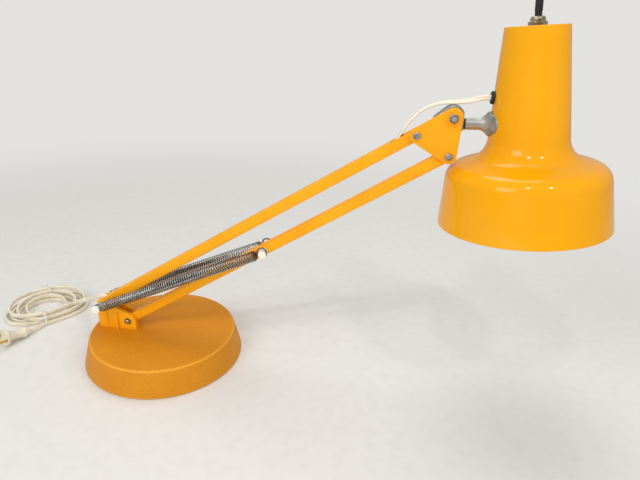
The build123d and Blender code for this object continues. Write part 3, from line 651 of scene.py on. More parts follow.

# %% [markdown]
# The head flex comes out of the slot on top of the upper tube and crosses three pivots on its way to the
# grommet. It is one line, swept as three lengths of equal run. At the
# slot its wide side lies across the tube, and it twists a quarter turn to stand upright at the grommet.

# %% Head flex
head_fineness = 16
twist_start_share = 0.5
twist_run_share = 0.45
twist_power = 1.2
head_route = [
    Vector((0.2805, 0.0, 0.2992)), Vector((0.2850, 0.0, 0.3090)), Vector((0.2920, 0.0, 0.3210)),
    Vector((0.3030, 0.0, 0.3336)), Vector((0.3190, 0.0, 0.3414)), Vector((0.3370, 0.0, 0.3432)),
    Vector((0.3510, 0.0006, 0.3446)), Vector((0.3638, 0.0014, 0.3489)), Vector((0.3721, 0.0014, 0.3489)),
]
head_line = laid_line(head_route, head_fineness)
head_run = run_along(head_line)
head_shares = head_run / head_run[-1]
twist_shares = np.clip((head_shares - twist_start_share) / twist_run_share, 0, 1) ** twist_power
twist = twist_shares * math.pi / 2
head_along = unit(np.gradient(head_line, axis=0))
across_way = np.tile(np.array(far_way), (len(head_line), 1))
upright_way = np.cross(head_along, across_way)
head_ways = across_way * np.cos(twist)[:, None] + upright_way * np.sin(twist)[:, None]
for count, (name, near_body, far_body) in enumerate((
        ("head_flex_foot", "upper_arm", "head"),
        ("head_flex_middle", "head", "tilt_block"),
        ("head_flex_end", "tilt_block", "shade"))):
    first = int(np.searchsorted(head_shares, count / 3))
    last = int(np.searchsorted(head_shares, (count + 1) / 3))
    stretch = head_line[first:last + 1]
    piece = flat_flex(name, stretch, head_ways[first:last + 1])
    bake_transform(piece)
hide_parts("head_lead")

# %% [markdown]
# The plug is a cream moulding like a trumpet: a wide flange to grip, a slim waist, a collar and a short
# tail that takes the flex. It lies on the table on its flange's edge and its collar. The waist is a smooth
# curve, so its outline is a formula.

# %% Plug
plug_face = Vector((-0.2117, -0.0284, 0.01237))
plug_way = Vector((0.4627, 0.8702, -0.1694))
flange_radius = 0.0120
flange_length = 0.0032
waist_radius = 0.0054
waist_length = 0.0210
waist_fall = 0.0040
waist_flare = 0.0013
collar_radius = 0.0076
collar_length = 0.0046
tail_radius = 0.0052
tail_length = 0.0040
moulding_round = 0.0008
waist_steps = 14
plug_outline = rounded([
    (0, 0, 0), (flange_radius, 0, moulding_round), (flange_radius, flange_length, moulding_round),
    (flange_radius - moulding_round, flange_length, 0)])
for step in range(1, waist_steps + 1):
    share = step / waist_steps
    reach = waist_length * share
    trumpet = (flange_radius - moulding_round - waist_radius) * math.exp(-reach / waist_fall)
    plug_outline.append((waist_radius + trumpet + waist_flare * share ** 2, flange_length + reach))
collar_start = flange_length + waist_length
tail_start = collar_start + collar_length
plug_outline += rounded([
    (waist_radius + waist_flare, collar_start, 0), (collar_radius, collar_start, moulding_round),
    (collar_radius, tail_start - moulding_round, moulding_round),
    (tail_radius - moulding_round, tail_start - moulding_round, 0),
    (tail_radius - moulding_round, tail_start, 0), (tail_radius, tail_start, 0),
    (tail_radius, tail_start + tail_length, moulding_round), (0, tail_start + tail_length, 0)])[1:]
plug = lathe("plug", plug_outline, stand(plug_face, plug_way), 64)
mount(dress(plug, "plug plastic"), "base", "plug_body")

# %% [markdown]
# Two thin ties hold the coil. Each is a white plastic-covered wire laid twice round the bundle, with its
# ends twisted together on top.

# %% Ties round the coil
tie_wire = 0.0011
tie_turn_gap = 0.0014
wire_fineness = 6
knot_points = 10
knot_step = 0.0012
knot_radius = 0.0008
knot_turn = 1.3


def wire_piece(name, route, diameter, closed=False):
    """A round wire along the NURBS line of a route, made a mesh."""
    obj = nurbs_object(name, route, wire_fineness, closed)
    obj.data.bevel_depth = diameter / 2
    obj.data.bevel_resolution = 3
    obj.data.use_fill_caps = True
    only(obj)
    bpy.ops.object.convert(target="MESH")
    return bpy.context.object


def tie(name, x, outline, knot):
    """Two turns of wire round a bundle, and a short twist of their ends."""
    wires = []
    for turn in (-1, 1):
        route = [coil_place @ Vector((x + turn * tie_turn_gap / 2, y, z)) for y, z in outline]
        wires.append(wire_piece(name, route, tie_wire, closed=True))
    knot_y, knot_z = knot
    for strand in (0, math.pi):
        route = []
        for step in range(knot_points):
            angle = strand + step * knot_turn
            route.append(coil_place @ Vector((
                x - knot_step * step, knot_y + knot_radius * math.cos(angle),
                knot_z + knot_radius * math.sin(angle))))
        wires.append(wire_piece(name, route, tie_wire))
    return joined(name, *wires)


near_x = -0.0080
near_knot = (-0.0425, 0.0120)
near_bundle = [(-0.0450, 0.0007), (-0.0456, 0.0070), (-0.0405, 0.0135), (-0.0370, 0.0190), (-0.0295, 0.0190),
               (-0.0245, 0.0130), (-0.0226, 0.0065), (-0.0232, 0.0007), (-0.0340, 0.0006)]
far_x = 0.0095
far_knot = (0.0425, 0.0200)
far_bundle = [(0.0462, 0.0007), (0.0468, 0.0075), (0.0452, 0.0165), (0.0400, 0.0202), (0.0335, 0.0188),
              (0.0270, 0.0145), (0.0240, 0.0070), (0.0246, 0.0007), (0.0340, 0.0006)]
near_tie = tie("near_tie", near_x, near_bundle, near_knot)
far_tie = tie("far_tie", far_x, far_bundle, far_knot)
ties = joined("coil_ties_wire", near_tie, far_tie)
mount(dress(ties, "tie plastic", 60), "base", "coil_ties")

# %% [markdown]
# The foot is a spun steel cover, slightly conical, with a soft round edge where the top turns into the
# side. It is drawn as one closed outline, wall and all, and spun. A painted highlight lightens the paint
# along the round edge, found by how far the surface faces up; the paint is also lighter along the lower lip.

# %% Foot cover
foot_radius = 0.1000
foot_top_radius = 0.0916
foot_height = 0.0343
foot_lift = 0.0008
foot_rim_round = 0.0052
foot_wall = 0.0026
foot_edge = 0.0006
highlight_and_lip_share = 0.42
off_side_shares = (0.50, 0.72)
on_top_shares = (0.84, 0.97)
lip_low = 0.0012
lip_high = 0.0028
cover_outline = rounded([
    (0, foot_height, 0), (foot_top_radius, foot_height, foot_rim_round), (foot_radius, foot_lift, foot_edge),
    (foot_radius - foot_wall, foot_lift, foot_edge),
    (foot_top_radius - foot_wall, foot_height - foot_wall, foot_wall), (0, foot_height - foot_wall, 0)], 10)
foot_cover = lathe("foot_cover", cover_outline, at_origin, 144)
foot_paint = finishes["foot paint"]
foot_normal = foot_paint.node("ShaderNodeTexCoord", out="Normal")
facing_up = foot_paint.node("ShaderNodeSeparateXYZ", sockets={0: foot_normal}, out="Z")
foot_rise = foot_paint.node("ShaderNodeSeparateXYZ", sockets={0: foot_paint.place}, out="Z")
# Painted highlight along the round edge, where the surface faces partly up; lighter paint along the lower
# lip.
off_side = foot_paint.between(*off_side_shares, facing_up)
on_top = foot_paint.between(*on_top_shares, facing_up)
rim_highlight_share = off_side * (1.0 - on_top)
lip_share = 1.0 - foot_paint.between(lip_low, lip_high, foot_rise)
foot_paint.wear(Base_Color=foot_paint.mixed((rim_highlight_share + lip_share) * highlight_and_lip_share, foot_paint.skin,
                                            screen_colour(250, 182, 66)))
mount(dress(foot_cover, "foot paint"), "base", "base_cover")

# %% [markdown]
# The bracket is a die casting with two cheeks, a rear block and two side fins. Its solid has the right
# form, so a merged copy of it is taken, and a bevel gives it the small rounded edges of a casting.

# %% Bracket
bracket_edge = 0.0004
bracket = soften(merged_copy("arm_bracket"), bracket_edge, 40)
bracket.name = "cast_bracket"
mount(dress(bracket, "bracket paint", 30), "base", "arm_bracket")

# %% [markdown]
# Both bars are 12 mm square steel tube. A cube is stretched to the bar's length, its long edges are
# rounded with a bevel, and its end faces are inset and pushed in, so that the ends are open tube. The
# upper one has a slot for the flex at either end, cut with a flat-sided cutter.

# %% Bars
bar_size = 0.0120
bar_wall = 0.0010
bar_corner = 0.0017
bar_open_depth = 0.0300
bar_top_way = arm_way.cross(far_way).normalized()
end_face_share = 0.9


def square_bar(name, start, end):
    """A length of square tube along X, rounded along its edges and open at its ends."""
    bpy.ops.mesh.primitive_cube_add(size=1, location=((start + end) / 2, 0, 0),
                                    scale=(end - start, bar_size, bar_size))
    obj = bpy.context.object
    obj.name = name
    bpy.ops.object.transform_apply(location=True, rotation=True, scale=True)
    for edge in obj.data.edges:
        first, second = (obj.data.vertices[index].co for index in edge.vertices)
        edge.select = abs(first.x - second.x) > bar_size
    bpy.ops.object.mode_set(mode="EDIT")
    bpy.ops.mesh.select_mode(type="EDGE")
    bpy.ops.mesh.bevel(offset=bar_corner, segments=5, affect="EDGES")
    bpy.ops.mesh.select_mode(type="FACE")
    for side, inward in ((-1, bar_open_depth), (1, -bar_open_depth)):
        bpy.ops.mesh.select_all(action="DESELECT")
        bpy.ops.object.mode_set(mode="OBJECT")
        for face in obj.data.polygons:
            face.select = face.normal.x * side > end_face_share
        bpy.ops.object.mode_set(mode="EDIT")
        bpy.ops.mesh.inset(thickness=bar_wall)
        bpy.ops.mesh.extrude_region_move(TRANSFORM_OT_translate={"value": (inward, 0, 0)})
    bpy.ops.mesh.select_mode(type="VERT")
    return end_edit(obj)


bar_tail = 0.0070
bar_foot = 0.0064
bar_nose = 0.0070
slot_width = 0.0070
slot_depth = 0.0030
head_slot_back = 0.0200
head_slot_length = 0.0170
foot_slot_middle = 0.0058
foot_slot_length = 0.0120
slots = ((arm_length - head_slot_back, head_slot_length), (foot_slot_middle, foot_slot_length))
upper_bar = square_bar("upper_tube", -bar_tail, arm_length + bar_nose)
slot_cutters = []
for slot_middle, slot_length in slots:
    bpy.ops.mesh.primitive_cylinder_add(vertices=32, radius=slot_width / 2, depth=2 * slot_depth,
                                        location=(slot_middle, 0, bar_size / 2))
    straight = (slot_length - slot_width) / 2
    for vertex in bpy.context.object.data.vertices:
        vertex.co.x += math.copysign(straight, vertex.co.x)
    slot_cutters.append(bpy.context.object)
cut(upper_bar, joined("slot_cutters", *slot_cutters))
print("upper tube with slots:", len(upper_bar.data.polygons), "faces")
settle(upper_bar, stand(anchor, bar_top_way, arm_way))
mount(dress(upper_bar, "arm paint", 40), "upper_arm", "upper_bar")
lower_bar = square_bar("lower_tube", -bar_foot, arm_length + bar_nose)
settle(lower_bar, stand(hinge, bar_top_way, arm_way))
mount(dress(lower_bar, "arm paint", 40), "lower_arm", "lower_bar")

# %% [markdown]
# Each spring is wire in 70 turns that its load draws a little apart. A small circle stands on edge beside
# the axis, and a Screw modifier carries it round and up for all turns. The lower end runs out into a hook
# round the bush on the bracket. The faces of the wire that look towards the axis get a dark painted shade,
# and only the outer side shows the steel, so the gaps between turns show. The spring turns about that bush
# and stretches.

# %% Springs
spring_wire = 0.0018
spring_radius = 0.0065
spring_turn_count = 70
steps_per_turn = 14
wire_sides = 8
spring_first = 0.0064
spring_last = 0.2256
hook_loop = 0.0045
shaded_side_share = 0.35
spring_low_out = 0.0174
spring_high_out = 0.0140
spring_sides = {"near": near_way, "far": far_way}


def spring_ends(side):
    """Where a spring's axis meets the two bushes that hold it."""
    way = spring_sides[side]
    return anchor + way * spring_low_out, post + way * spring_high_out


def spring_place(side):
    """A spring's frame: Z along its axis from its lower end."""
    low, high = spring_ends(side)
    return stand(low, high - low)


def wound_spring(side):
    """The turns of a spring with the hook at their lower end."""
    turn_radius = spring_radius - spring_wire / 2
    bpy.ops.mesh.primitive_circle_add(vertices=wire_sides, radius=spring_wire / 2, fill_type="NOTHING",
                                      location=(turn_radius, 0, spring_first), rotation=(math.pi / 2, 0, 0))
    obj = bpy.context.object
    obj.name = "spring_" + side + "_wire"
    bpy.ops.object.transform_apply(location=True, rotation=True, scale=True)
    screw = obj.modifiers.new("turns", "SCREW")
    screw.axis = "Z"
    screw.angle = 2 * math.pi
    screw.screw_offset = (spring_last - spring_first) / spring_turn_count
    screw.iterations = spring_turn_count
    screw.steps = steps_per_turn
    screw.render_steps = steps_per_turn
    bpy.ops.object.modifier_apply(modifier=screw.name)
    edit_all(obj)
    bpy.ops.mesh.fill_holes(sides=wire_sides)
    end_edit(obj)
    hook = wire_piece("hook", [
        Vector((-hook_loop, 0, spring_wire)), Vector((-hook_loop, 0, -hook_loop / 2)),
        Vector((-hook_loop / 2, 0, -hook_loop)), Vector((hook_loop / 2, 0, -hook_loop)),
        Vector((hook_loop, 0, -hook_loop / 2)), Vector((hook_loop, 0, spring_first / 2)),
        Vector((turn_radius, 0, spring_first - spring_wire)),
        Vector((turn_radius, spring_wire, spring_first)),
    ], spring_wire)
    return settle(joined(obj.name, obj, hook), spring_place(side))


for side in spring_sides:
    low, high = spring_ends(side)
    spring = dress(wound_spring(side), "spring steel", 60)
    spring.data.materials.append(finishes["painted spring shade"].material)
    spring_way = (high - low).normalized()
    # Faces of the wire that look towards the axis get the dark painted shade.
    for face in spring.data.polygons:
        from_axis = face.center - low - spring_way * (face.center - low).dot(spring_way)
        face.material_index = 1 if face.normal.dot(from_axis.normalized()) < shaded_side_share else 0
    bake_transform(spring)
    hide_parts("spring_" + side)
    print(spring.name, len(spring.data.polygons), "faces")

# %% [markdown]
# At the upper end the coil narrows in two turns into a straight neck, and the neck ends in a ring round
# the bush on the lower bar's post. The ring bears on the bush's far side and is wide enough for the post
# to shift in it as the arm moves. It is one length of browned wire, drawn as points on a formula.

# %% Upper hooks
hook_wire = 0.0017
ring_radius = 0.0058
ring_back = 0.0009
ring_up = 0.0012
neck_start = 0.0086
taper_turns = 2
taper_power = 0.6
points_per_turn = 12


def upper_hook(side):
    """The taper, neck and ring at the upper end of a spring."""
    low, high = spring_ends(side)
    reach = (high - low).length
    turn_radius = spring_radius - hook_wire / 2
    taper_end = reach - neck_start
    route = []
    count = taper_turns * points_per_turn
    for step in range(count + 1):
        share = step / count
        angle = 2 * math.pi * share * taper_turns
        radius = turn_radius * (1 - share) ** taper_power
        route.append(Vector((radius * math.cos(angle), radius * math.sin(angle),
                             spring_last + (taper_end - spring_last) * share)))
    for step in range(points_per_turn + 2):
        angle = 2 * math.pi * step / points_per_turn
        route.append(Vector((ring_up + ring_radius * math.sin(angle), 0,
                             reach - ring_back - ring_radius * math.cos(angle))))
    return settle(wire_piece("hook_" + side, route, hook_wire), spring_place(side))


hooks = joined("spring_top_hooks", upper_hook("near"), upper_hook("far"))
mount(dress(hooks, "hook steel", 60), "spring_tops", "spring_hooks")

# %% [markdown]
# White bushes keep the hooks off the steel pins: a spool with a flange beside the metal and a domed cap
# outside. A pair is turned for each pin, one on either side.

# %% Bushes
bush_radius = 0.0034
bush_flange = 0.0016
bush_cap_length = 0.0034
bush_cap_round = 0.0014
bush_rim = 0.0003
bush_dimple = 0.0016


def bush_pair(name, pivot, face, length, flange_start, flange_radius, cap_radius):
    """A spool on either side of a pivot, each from a face outwards."""
    dimple_floor = length - bush_rim * 2
    flange_end = flange_start + bush_flange
    outline = rounded([
        (0, 0, 0), (bush_radius, 0, 0), (bush_radius, flange_start, 0),
        (flange_radius, flange_start, bush_rim), (flange_radius, flange_end, bush_rim),
        (bush_radius, flange_end, 0), (bush_radius, length - bush_cap_length, 0),
        (cap_radius, length - bush_cap_length, bush_rim), (cap_radius, length, bush_cap_round),
        (bush_dimple, length, bush_rim), (bush_dimple, dimple_floor, 0), (0, dimple_floor, 0)], 5)
    sides = [lathe(name, outline, stand(pivot + way * face, way), 48) for way in (near_way, far_way)]
    return joined(name, *sides)


cheek_outer = 0.0104
bush_beyond = 0.0066
anchor_flange_start = 0.0030
anchor_flange_radius = 0.0062
anchor_cap_radius = 0.0053
anchor_length = spring_low_out + bush_beyond - cheek_outer
anchor_bush = bush_pair("anchor_spools", anchor, cheek_outer, anchor_length, anchor_flange_start,
                        anchor_flange_radius, anchor_cap_radius)
mount(dress(anchor_bush, "white plastic"), "base", "anchor_bushes")
post_flange_start = 0.0050
post_flange_radius = 0.0056
post_cap_radius = 0.0046
post_length = spring_high_out + bush_beyond - bar_size / 2
post_bush = bush_pair("post_spools", post, bar_size / 2, post_length, post_flange_start, post_flange_radius,
                      post_cap_radius)
mount(dress(post_bush, "white plastic"), "lower_arm", "post_bushes")

# %% [markdown]
# The head plate is flat steel whose outline wraps three bolts. Three discs are set at the bolts, a convex
# hull is drawn round them, and the edges are rounded a little, as after pressing and painting.

# %% Head plate
plate_inner = 0.0065
plate_thickness = 0.0025
plate_tilt_rise = 0.0005
pivot_corner = 0.0080
tilt_corner = 0.0096
plate_corners = (
    (upper_end, pivot_corner), (lower_end, pivot_corner), (tilt + up_way * plate_tilt_rise, tilt_corner))
plate_edge = 0.0005


def hull_plate(name, corners, low_y, high_y):
    """A flat plate that wraps discs at some places of the arm's plane."""
    discs = []
    for place, radius in corners:
        bpy.ops.mesh.primitive_cylinder_add(vertices=64, radius=radius, depth=high_y - low_y,
                                            location=(place.x, (low_y + high_y) / 2, place.z),
                                            rotation=(math.pi / 2, 0, 0))
        discs.append(bpy.context.object)
    obj = joined(name, *discs)
    bpy.ops.object.transform_apply(location=True, rotation=True, scale=True)
    edit_all(obj)
    bpy.ops.mesh.convex_hull()
    bpy.ops.mesh.select_all(action="SELECT")
    bpy.ops.mesh.dissolve_limited(angle_limit=flat_angle)
    return end_edit(obj)


plate = hull_plate("head_side_plate", plate_corners, -plate_inner - plate_thickness, -plate_inner)
soften(plate, plate_edge, 50)
mount(dress(plate, "arm paint"), "head", "head_plate")

# %% [markdown]
# The pivot bolts have low round heads with a hollow in the middle. The tilt bolt is held by a hexagon nut
# on a washer. Heads are turned on the lathe. A nut is spun with six steps, and the part that it shares with
# a turned form has chamfered corners.

# %% Bolts and nuts
head_radius = 0.0041
head_height = 0.0027
head_round = 0.0010
hollow_radius = 0.0025
hollow_depth = 0.0010
button_radius = 0.0013
shank_radius = 0.0025
nut_radius = 0.0046
nut_height = 0.0040
nut_chamfer = 0.0009
crown_share = 0.8
tilt_nut_radius = 0.0052
tilt_nut_height = 0.0045
tilt_shank_radius = 0.0030
tilt_washer_thickness = 0.0012


def pan_bolt(name, place, face, shank):
    """A bolt whose head stands out towards the near side, with its shank behind."""
    outline = rounded([
        (0, -shank, 0), (shank_radius, -shank, 0), (shank_radius, 0, 0), (head_radius, 0, head_round / 4),
        (head_radius, head_height, head_round), (hollow_radius, head_height, head_round / 5),
        (hollow_radius, head_height - hollow_depth, 0), (button_radius, head_height - hollow_depth, 0),
        (button_radius, head_height, head_round / 2), (0, head_height, 0)], 5)
    return lathe(name, outline, stand(place + near_way * face, near_way), 48)


def hex_nut(name, place, way, face, radius, height, bore):
    """A hexagon nut with chamfered corners, standing on a face."""
    ring = [(bore, 0), (radius, 0), (radius, height), (bore, height), (bore, 0)]
    body = lathe(name, ring, at_origin, 6)
    turned = lathe("turned", [
        (0, 0), (radius, 0), (radius, height - nut_chamfer), (radius * crown_share, height),
        (bore + nut_chamfer, height), (bore, height - nut_chamfer), (0, height - nut_chamfer)],
        at_origin, 48)
    cut(body, turned, "INTERSECT")
    return settle(body, stand(place + way * face, way))


plate_outer = plate_inner + plate_thickness
bolts = [pan_bolt("pivot_bolt", place, plate_outer, plate_outer + plate_inner + nut_height)
         for place in (upper_end, lower_end)]
mount(dress(joined("pivot_bolts", *bolts), "zinc"), "head", "head_bolts")
nuts = [hex_nut("pivot_nut", place, far_way, plate_inner, nut_radius, nut_height, shank_radius)
        for place in (upper_end, lower_end)]
mount(dress(joined("pivot_nuts", *nuts), "zinc", 25), "head", "head_nuts")
tilt_nut = hex_nut("tilt_hex_nut", tilt, near_way, plate_outer + tilt_washer_thickness, tilt_nut_radius,
                   tilt_nut_height, tilt_shank_radius)
mount(dress(tilt_nut, "zinc", 25), "head", "tilt_nut")

# %% [markdown]
# The screw of the lower bar's hinge has a bright dome on a low rim. It is turned in one piece, and the
# faces outside the dome get dark iron as painted shade round the dome.

# %% Hinge screw
rim_radius = 0.0041
rim_height = 0.0008
dome_radius = 0.0030
dome_rise = 0.0019
dome_steps = 8
hinge_shank = 2 * cheek_outer + nut_height
dome_outline = [
    (0, -hinge_shank), (shank_radius, -hinge_shank), (shank_radius, 0), (rim_radius, 0),
    (rim_radius, rim_height)]
for step in range(dome_steps + 1):
    angle = math.pi / 2 * step / dome_steps
    dome_outline.append((dome_radius * math.cos(angle), rim_height + dome_rise * math.sin(angle)))
hinge_screw = lathe("hinge_domed_screw", dome_outline, stand(hinge + near_way * cheek_outer, near_way), 48)
dress(hinge_screw, "zinc")
# Dark iron on the rim round the dome is painted shade.
hinge_screw.data.materials.append(finishes["iron"].material)
for face in hinge_screw.data.polygons:
    off_axis = math.hypot(face.center.x - hinge.x, face.center.z - hinge.z)
    face.material_index = 1 if off_axis > dome_radius else 0
mount(hinge_screw, "base", "hinge_screw")

# %% [markdown]
# The knuckle is a grey casting. A copy of its solid is merged, and its edges are rounded.

# %% Knuckle
knuckle_edge = 0.0006
knuckle = soften(merged_copy("knuckle"), knuckle_edge, 40)
knuckle.name = "cast_knuckle"
mount(dress(knuckle, "cast grey", 30), "tilt_block", "knuckle")

# %% [markdown]
# The shade is one spun bell: a flat top, a slim tapering neck, a round shoulder and a skirt that opens
# slightly to a rolled rim. The outline runs down the outer face and back up the inner one, so the spun
# mesh is a closed wall. Faces that look inwards get the white enamel.

# %% Shade
mouth_below_pivot = 0.1037
mouth = pivots["switch_turn"] - shade_way * mouth_below_pivot
mouth_radius = 0.0886
skirt_top_radius = 0.0804
skirt_height = 0.0612
shoulder_round = 0.0176
neck_foot_radius = 0.0412
neck_foot_height = 0.0734
neck_round = 0.0240
neck_top_radius = 0.0300
shade_height = 0.1962
shade_wall = 0.0010
top_edge = 0.0011
rim_round = 0.0005
rim_width = 0.0022
nipple_hole = 0.0061
rim_inset_share = 1.4
inside_share = 0.05


def bell_outline():
    """The shade's wall: down the outer face, round the rim and up the inner face."""
    outer = rounded([
        (nipple_hole, shade_height, 0), (neck_top_radius, shade_height, top_edge),
        (neck_foot_radius, neck_foot_height, neck_round), (skirt_top_radius, skirt_height, shoulder_round),
        (mouth_radius, 0, rim_round), (mouth_radius - rim_width, 0, rim_round),
        (mouth_radius - rim_width, rim_width / 2, 0)], 14)
    inner = rounded([
        (nipple_hole, shade_height - shade_wall, 0),
        (neck_top_radius - shade_wall, shade_height - shade_wall, top_edge / 2),
        (neck_foot_radius - shade_wall, neck_foot_height - shade_wall, neck_round + shade_wall),
        (skirt_top_radius - shade_wall, skirt_height - shade_wall, shoulder_round - shade_wall),
        (mouth_radius - rim_inset_share * shade_wall, rim_width, 0)], 14)
    return outer + inner[::-1] + outer[:1]


shade_front = Vector((1, 0, 0))
shade_place = stand(mouth, shade_way, shade_front)
shade = dress(lathe("bell_shade", bell_outline(), shade_place, 160), "shade enamel", 40)
shade.data.materials.append(finishes["white enamel"].material)
to_shade = shade_place.inverted()
turn_to_shade = to_shade.to_3x3()
for face in shade.data.polygons:
    centre = to_shade @ face.center
    normal = turn_to_shade @ face.normal
    outward = Vector((centre.x, centre.y, 0)).normalized()
    looks_out = normal.dot(outward) + normal.z > -inside_share
    face.material_index = 0 if looks_out or centre.z < rim_width / 2 else 1
mount(shade, "shade", "shade_shell")

# %% [markdown]
# The stub is a round rod that flares into an oval saddle. A disc is extruded step by step along the stub,
# and each step is widened a little more than the last. The neck of the shade then cuts the saddle's face.

# %% Stub
stub_radius = 0.0060
stub_start = 0.0130
stub_straight = 0.0130
flare_run = 0.0098
flare_wrap = 0.0047
flare_upright = 0.0124
flare_sideways = 0.0180
flare_rim = 0.0044
flare_steps = 14


def saddle_stub():
    """The rod with its flare, cut to the shade's neck."""
    bpy.ops.mesh.primitive_circle_add(vertices=72, radius=stub_radius, fill_type="NGON",
                                      location=(0, 0, stub_start))
    obj = bpy.context.object
    obj.name = "cast_stub"
    bpy.ops.object.transform_apply(location=True, rotation=True, scale=True)
    edit_all(obj)
    bpy.ops.mesh.extrude_region_move(TRANSFORM_OT_translate={"value": (0, 0, stub_straight)})
    upright, sideways = stub_radius, stub_radius
    stretch = flare_run + flare_wrap
    for step in range(1, flare_steps + 1):
        run = stretch * step / flare_steps
        wider_upright = stub_radius + (flare_upright - stub_radius) * min(1, run / flare_run) ** 2
        wider_sideways = stub_radius + (flare_sideways - stub_radius) * (run / stretch) ** 2
        bpy.ops.mesh.extrude_region_move(TRANSFORM_OT_translate={"value": (0, 0, stretch / flare_steps)})
        bpy.ops.transform.resize(value=(wider_upright / upright, wider_sideways / sideways, 1))
        upright, sideways = wider_upright, wider_sideways
    bpy.ops.mesh.extrude_region_move(TRANSFORM_OT_translate={"value": (0, 0, flare_rim)})
    settle(end_edit(obj), stand(stub_root, stub_way))
    neck_form = lathe("neck_form", rounded([
        (0, shade_height, 0), (neck_top_radius, shade_height, 0),
        (neck_foot_radius, neck_foot_height, neck_round), (skirt_top_radius, skirt_height, 0),
        (0, skirt_height, 0)], 14), shade_place, 160)
    return cut(obj, neck_form)


mount(dress(saddle_stub(), "cast grey", 40), "shade", "shade_stub")

# %% [markdown]
# On top sits a plated collar in two tiers, with the black switch stem in its middle. In the neck, above
# the stub, a black rubber grommet lets the flex in.

# %% Collar, switch stem and grommet
top_place = shade_place @ Matrix.Translation((0, 0, shade_height))
collar_low_radius = 0.0089
collar_low_height = 0.0038
collar_top_radius = 0.0070
collar_full_height = 0.0084
collar_soft = 0.0013
collar_dome = 0.0027
stem_hole = 0.0037
collar = lathe("plated_collar", rounded([
    (stem_hole, 0, 0), (collar_low_radius, 0, 0), (collar_low_radius, collar_low_height, collar_soft),
    (collar_top_radius, collar_low_height, 0), (collar_top_radius, collar_full_height, collar_dome),
    (stem_hole, collar_full_height, 0), (stem_hole, 0, 0)]), top_place, 64)
mount(dress(collar, "aged nickel"), "shade", "switch_collar")
stem_radius = 0.0036
stem_rise = 0.0240
stem_depth = 0.0119
stem_soft = 0.0008
stem_neck = 0.0003
stem = lathe("switch_knob_stem", rounded([
    (0, -stem_depth, 0), (stem_radius - stem_neck, -stem_depth, 0),
    (stem_radius - stem_neck, stem_rise / 2, 0), (stem_radius, stem_rise / 2 + stem_neck, 0),
    (stem_radius, stem_rise, stem_soft), (0, stem_rise, 0)]), top_place, 40)
mount(dress(stem, "black plastic"), "switch_knob", "switch_stem")
grommet_wall = Vector((0.37384, 0.00136, 0.34894))
grommet_way = Vector((-1.0, 0.00275, 0.0))
grommet_radius = 0.0064
grommet_proud = 0.0034
grommet_soft = 0.0013
grommet_waist = 0.0043
grommet_depth = 0.0030
grommet_hole = 0.0026
grommet = lathe("rubber_grommet", rounded([
    (grommet_hole, -grommet_depth, 0), (grommet_waist, -grommet_depth, 0), (grommet_waist, 0, 0),
    (grommet_radius, 0, 0), (grommet_radius, grommet_proud, grommet_soft),
    (grommet_hole, grommet_proud, grommet_soft / 2), (grommet_hole, -grommet_depth, 0)]),
    stand(grommet_wall, grommet_way), 40)
mount(dress(grommet, "black rubber"), "shade", "lead_grommet")

# %% [markdown]
# Inside the shade hang the lampholder and an opal bulb, seen only from below. The glass is turned here: a
# round end that draws in to its neck in one smooth curve. Its place follows from the holder and the cap.

# %% Bulb
holder_length = 0.0460
holder_bore_depth = 0.0260
cap_contact = 0.0019
cap_length = 0.0240
glass_grip = 0.0029
glass_reach = 0.0750
glass_radius = 0.0300
glass_neck = 0.0122
glass_neck_length = 0.0058
holder_floor = shade_height - shade_wall - holder_length + holder_bore_depth
glass_centre = holder_floor - glass_reach
glass_neck_top = holder_floor - cap_contact - cap_length + glass_grip
glass_swell = math.radians(40)
glass_steps = 28


def glass_outline():
    """The ball from its lowest point up, then the draw to the neck."""
    points = []
    for step in range(glass_steps + 1):
        angle = -math.pi / 2 + (math.pi / 2 + glass_swell) * step / glass_steps
        points.append((glass_radius * math.cos(angle), glass_centre + glass_radius * math.sin(angle)))
    start_radius, start_height = points[-1]
    end_height = glass_neck_top - glass_neck_length
    for step in range(1, glass_steps // 2 + 1):
        share = step / (glass_steps // 2)
        slow_start = share * share * (3 - 2 * share)
        fast_start = 1 - (1 - share) ** 2
        ease = slow_start / 2 + fast_start / 2
        points.append((start_radius + (glass_neck - start_radius) * ease,
                       start_height + (end_height - start_height) * share))
    return [(0, points[0][1])] + points[1:] + [(glass_neck, glass_neck_top), (0, glass_neck_top)]


bulb = lathe("opal_bulb", glass_outline(), shade_place, 64)
mount(dress(bulb, "bulb opal"), "shade", "bulb_glass")

# %% [markdown]
# The remaining nodes already have the right shape, so they only get their finishes: the pad, plate and
# weight under the foot, pins, washers, nuts, the screw in the stub, and the holder and cap in the shade.

# %% Finishes for the other nodes
node_finishes = {
    "base_pad": "felt", "base_plate": "zinc", "base_ballast": "iron", "ballast_bolt": "zinc",
    "bracket_screws": "zinc", "hinge_nut": "zinc", "anchor_pin": "zinc", "spring_post": "zinc",
    "tilt_bolt": "zinc", "tilt_washer": "arm paint", "friction_washer": "black rubber", "stub_screw": "zinc",
    "stub_nut": "zinc", "lampholder": "holder plastic", "bulb_cap": "bulb metal", "plug_pins": "pin brass",
}
for name, finish in node_finishes.items():
    materials = frame["nodes"][name].data.materials
    for index in range(len(materials)):
        materials[index] = finishes[finish].material
print(len(node_finishes), "nodes finished")

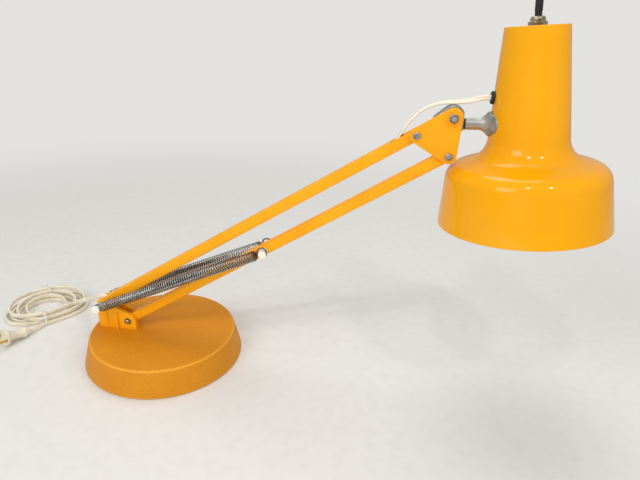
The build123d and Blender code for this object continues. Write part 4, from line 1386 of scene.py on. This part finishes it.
# %% [markdown]
# A pale floor carries the lamp's shadow. Far from the lamp, and beyond the floor, the camera sees an even
# pale tone instead, so that the ground has no horizon. Four large soft lamps give the plain light of a
# studio, with an even grey world: the strongest from the upper left in front, one from above behind, and
# two from the right and the front that no surface mirrors. Two small weak lamps overhead put the crisp
# bright spots on the shade's enamel. A row gives a lamp's place, target, size, power and if it is mirrored.

# %% Floor and light
floor_size = 16.0
fade_start = 0.45
fade_end = 1.3
backdrop = screen_colour(228, 226, 223)
ground = plastic("floor", (226, 224, 220), (220, 218, 213), 0.7)
away = ground.node("ShaderNodeVectorMath", {"operation": "LENGTH"}, {0: ground.place}, out="Value")
ground_seen = ground.node("ShaderNodeLightPath", out="Is Camera Ray")
glow = ground.node("ShaderNodeEmission", sockets={"Color": backdrop})
ground.shown(ground.between(fade_start, fade_end, away) * ground_seen, glow, "Material Output")
bpy.ops.mesh.primitive_plane_add(size=floor_size)
floor = bpy.context.object
floor.name = "floor"
floor.data.materials.append(ground.material)


def soft_lamp(name, place, target, size, power, mirrored):
    """A square area lamp that looks at a target, and that may be left out of reflections."""
    data = bpy.data.lights.new(name, "AREA")
    data.size = size
    data.energy = power
    lamp = linked(name, data)
    lamp.matrix_world = stand(place, Vector(place) - target)
    lamp.visible_glossy = mirrored


lamp_target = Vector((0.15, 0.0, 0.15))
studio_lamps = {
    "key": ((-0.9, -1.3, 1.5), lamp_target, 0.9, 12, True),
    "fill": ((1.5, -0.9, 0.9), lamp_target, 1.0, 5, False),
    "top": ((0.2, 0.6, 1.7), lamp_target, 0.9, 9, True),
    "front": ((-0.1, -1.8, 0.5), lamp_target, 1.2, 8, False),
    "ceiling_left": ((0.20, -0.83, 1.51), mouth, 0.10, 2.2, True),
    "ceiling_right": ((0.84, -0.75, 1.51), mouth, 0.10, 2.2, True),
}
for name, settings in studio_lamps.items():
    soft_lamp(name, *settings)
studio = Finish("studio", bpy.data.worlds, "Background", Color=screen_colour(232, 232, 230), Strength=0.55)
open_ground = studio.node("ShaderNodeBackground", sockets={"Color": backdrop})
studio.shown(studio.node("ShaderNodeLightPath", out="Is Camera Ray"), open_ground, "World Output")
bpy.context.scene.world = studio.material
bpy.context.scene.view_settings.view_transform = "Standard"
print("floor,", len(studio_lamps), "lamps and the world")
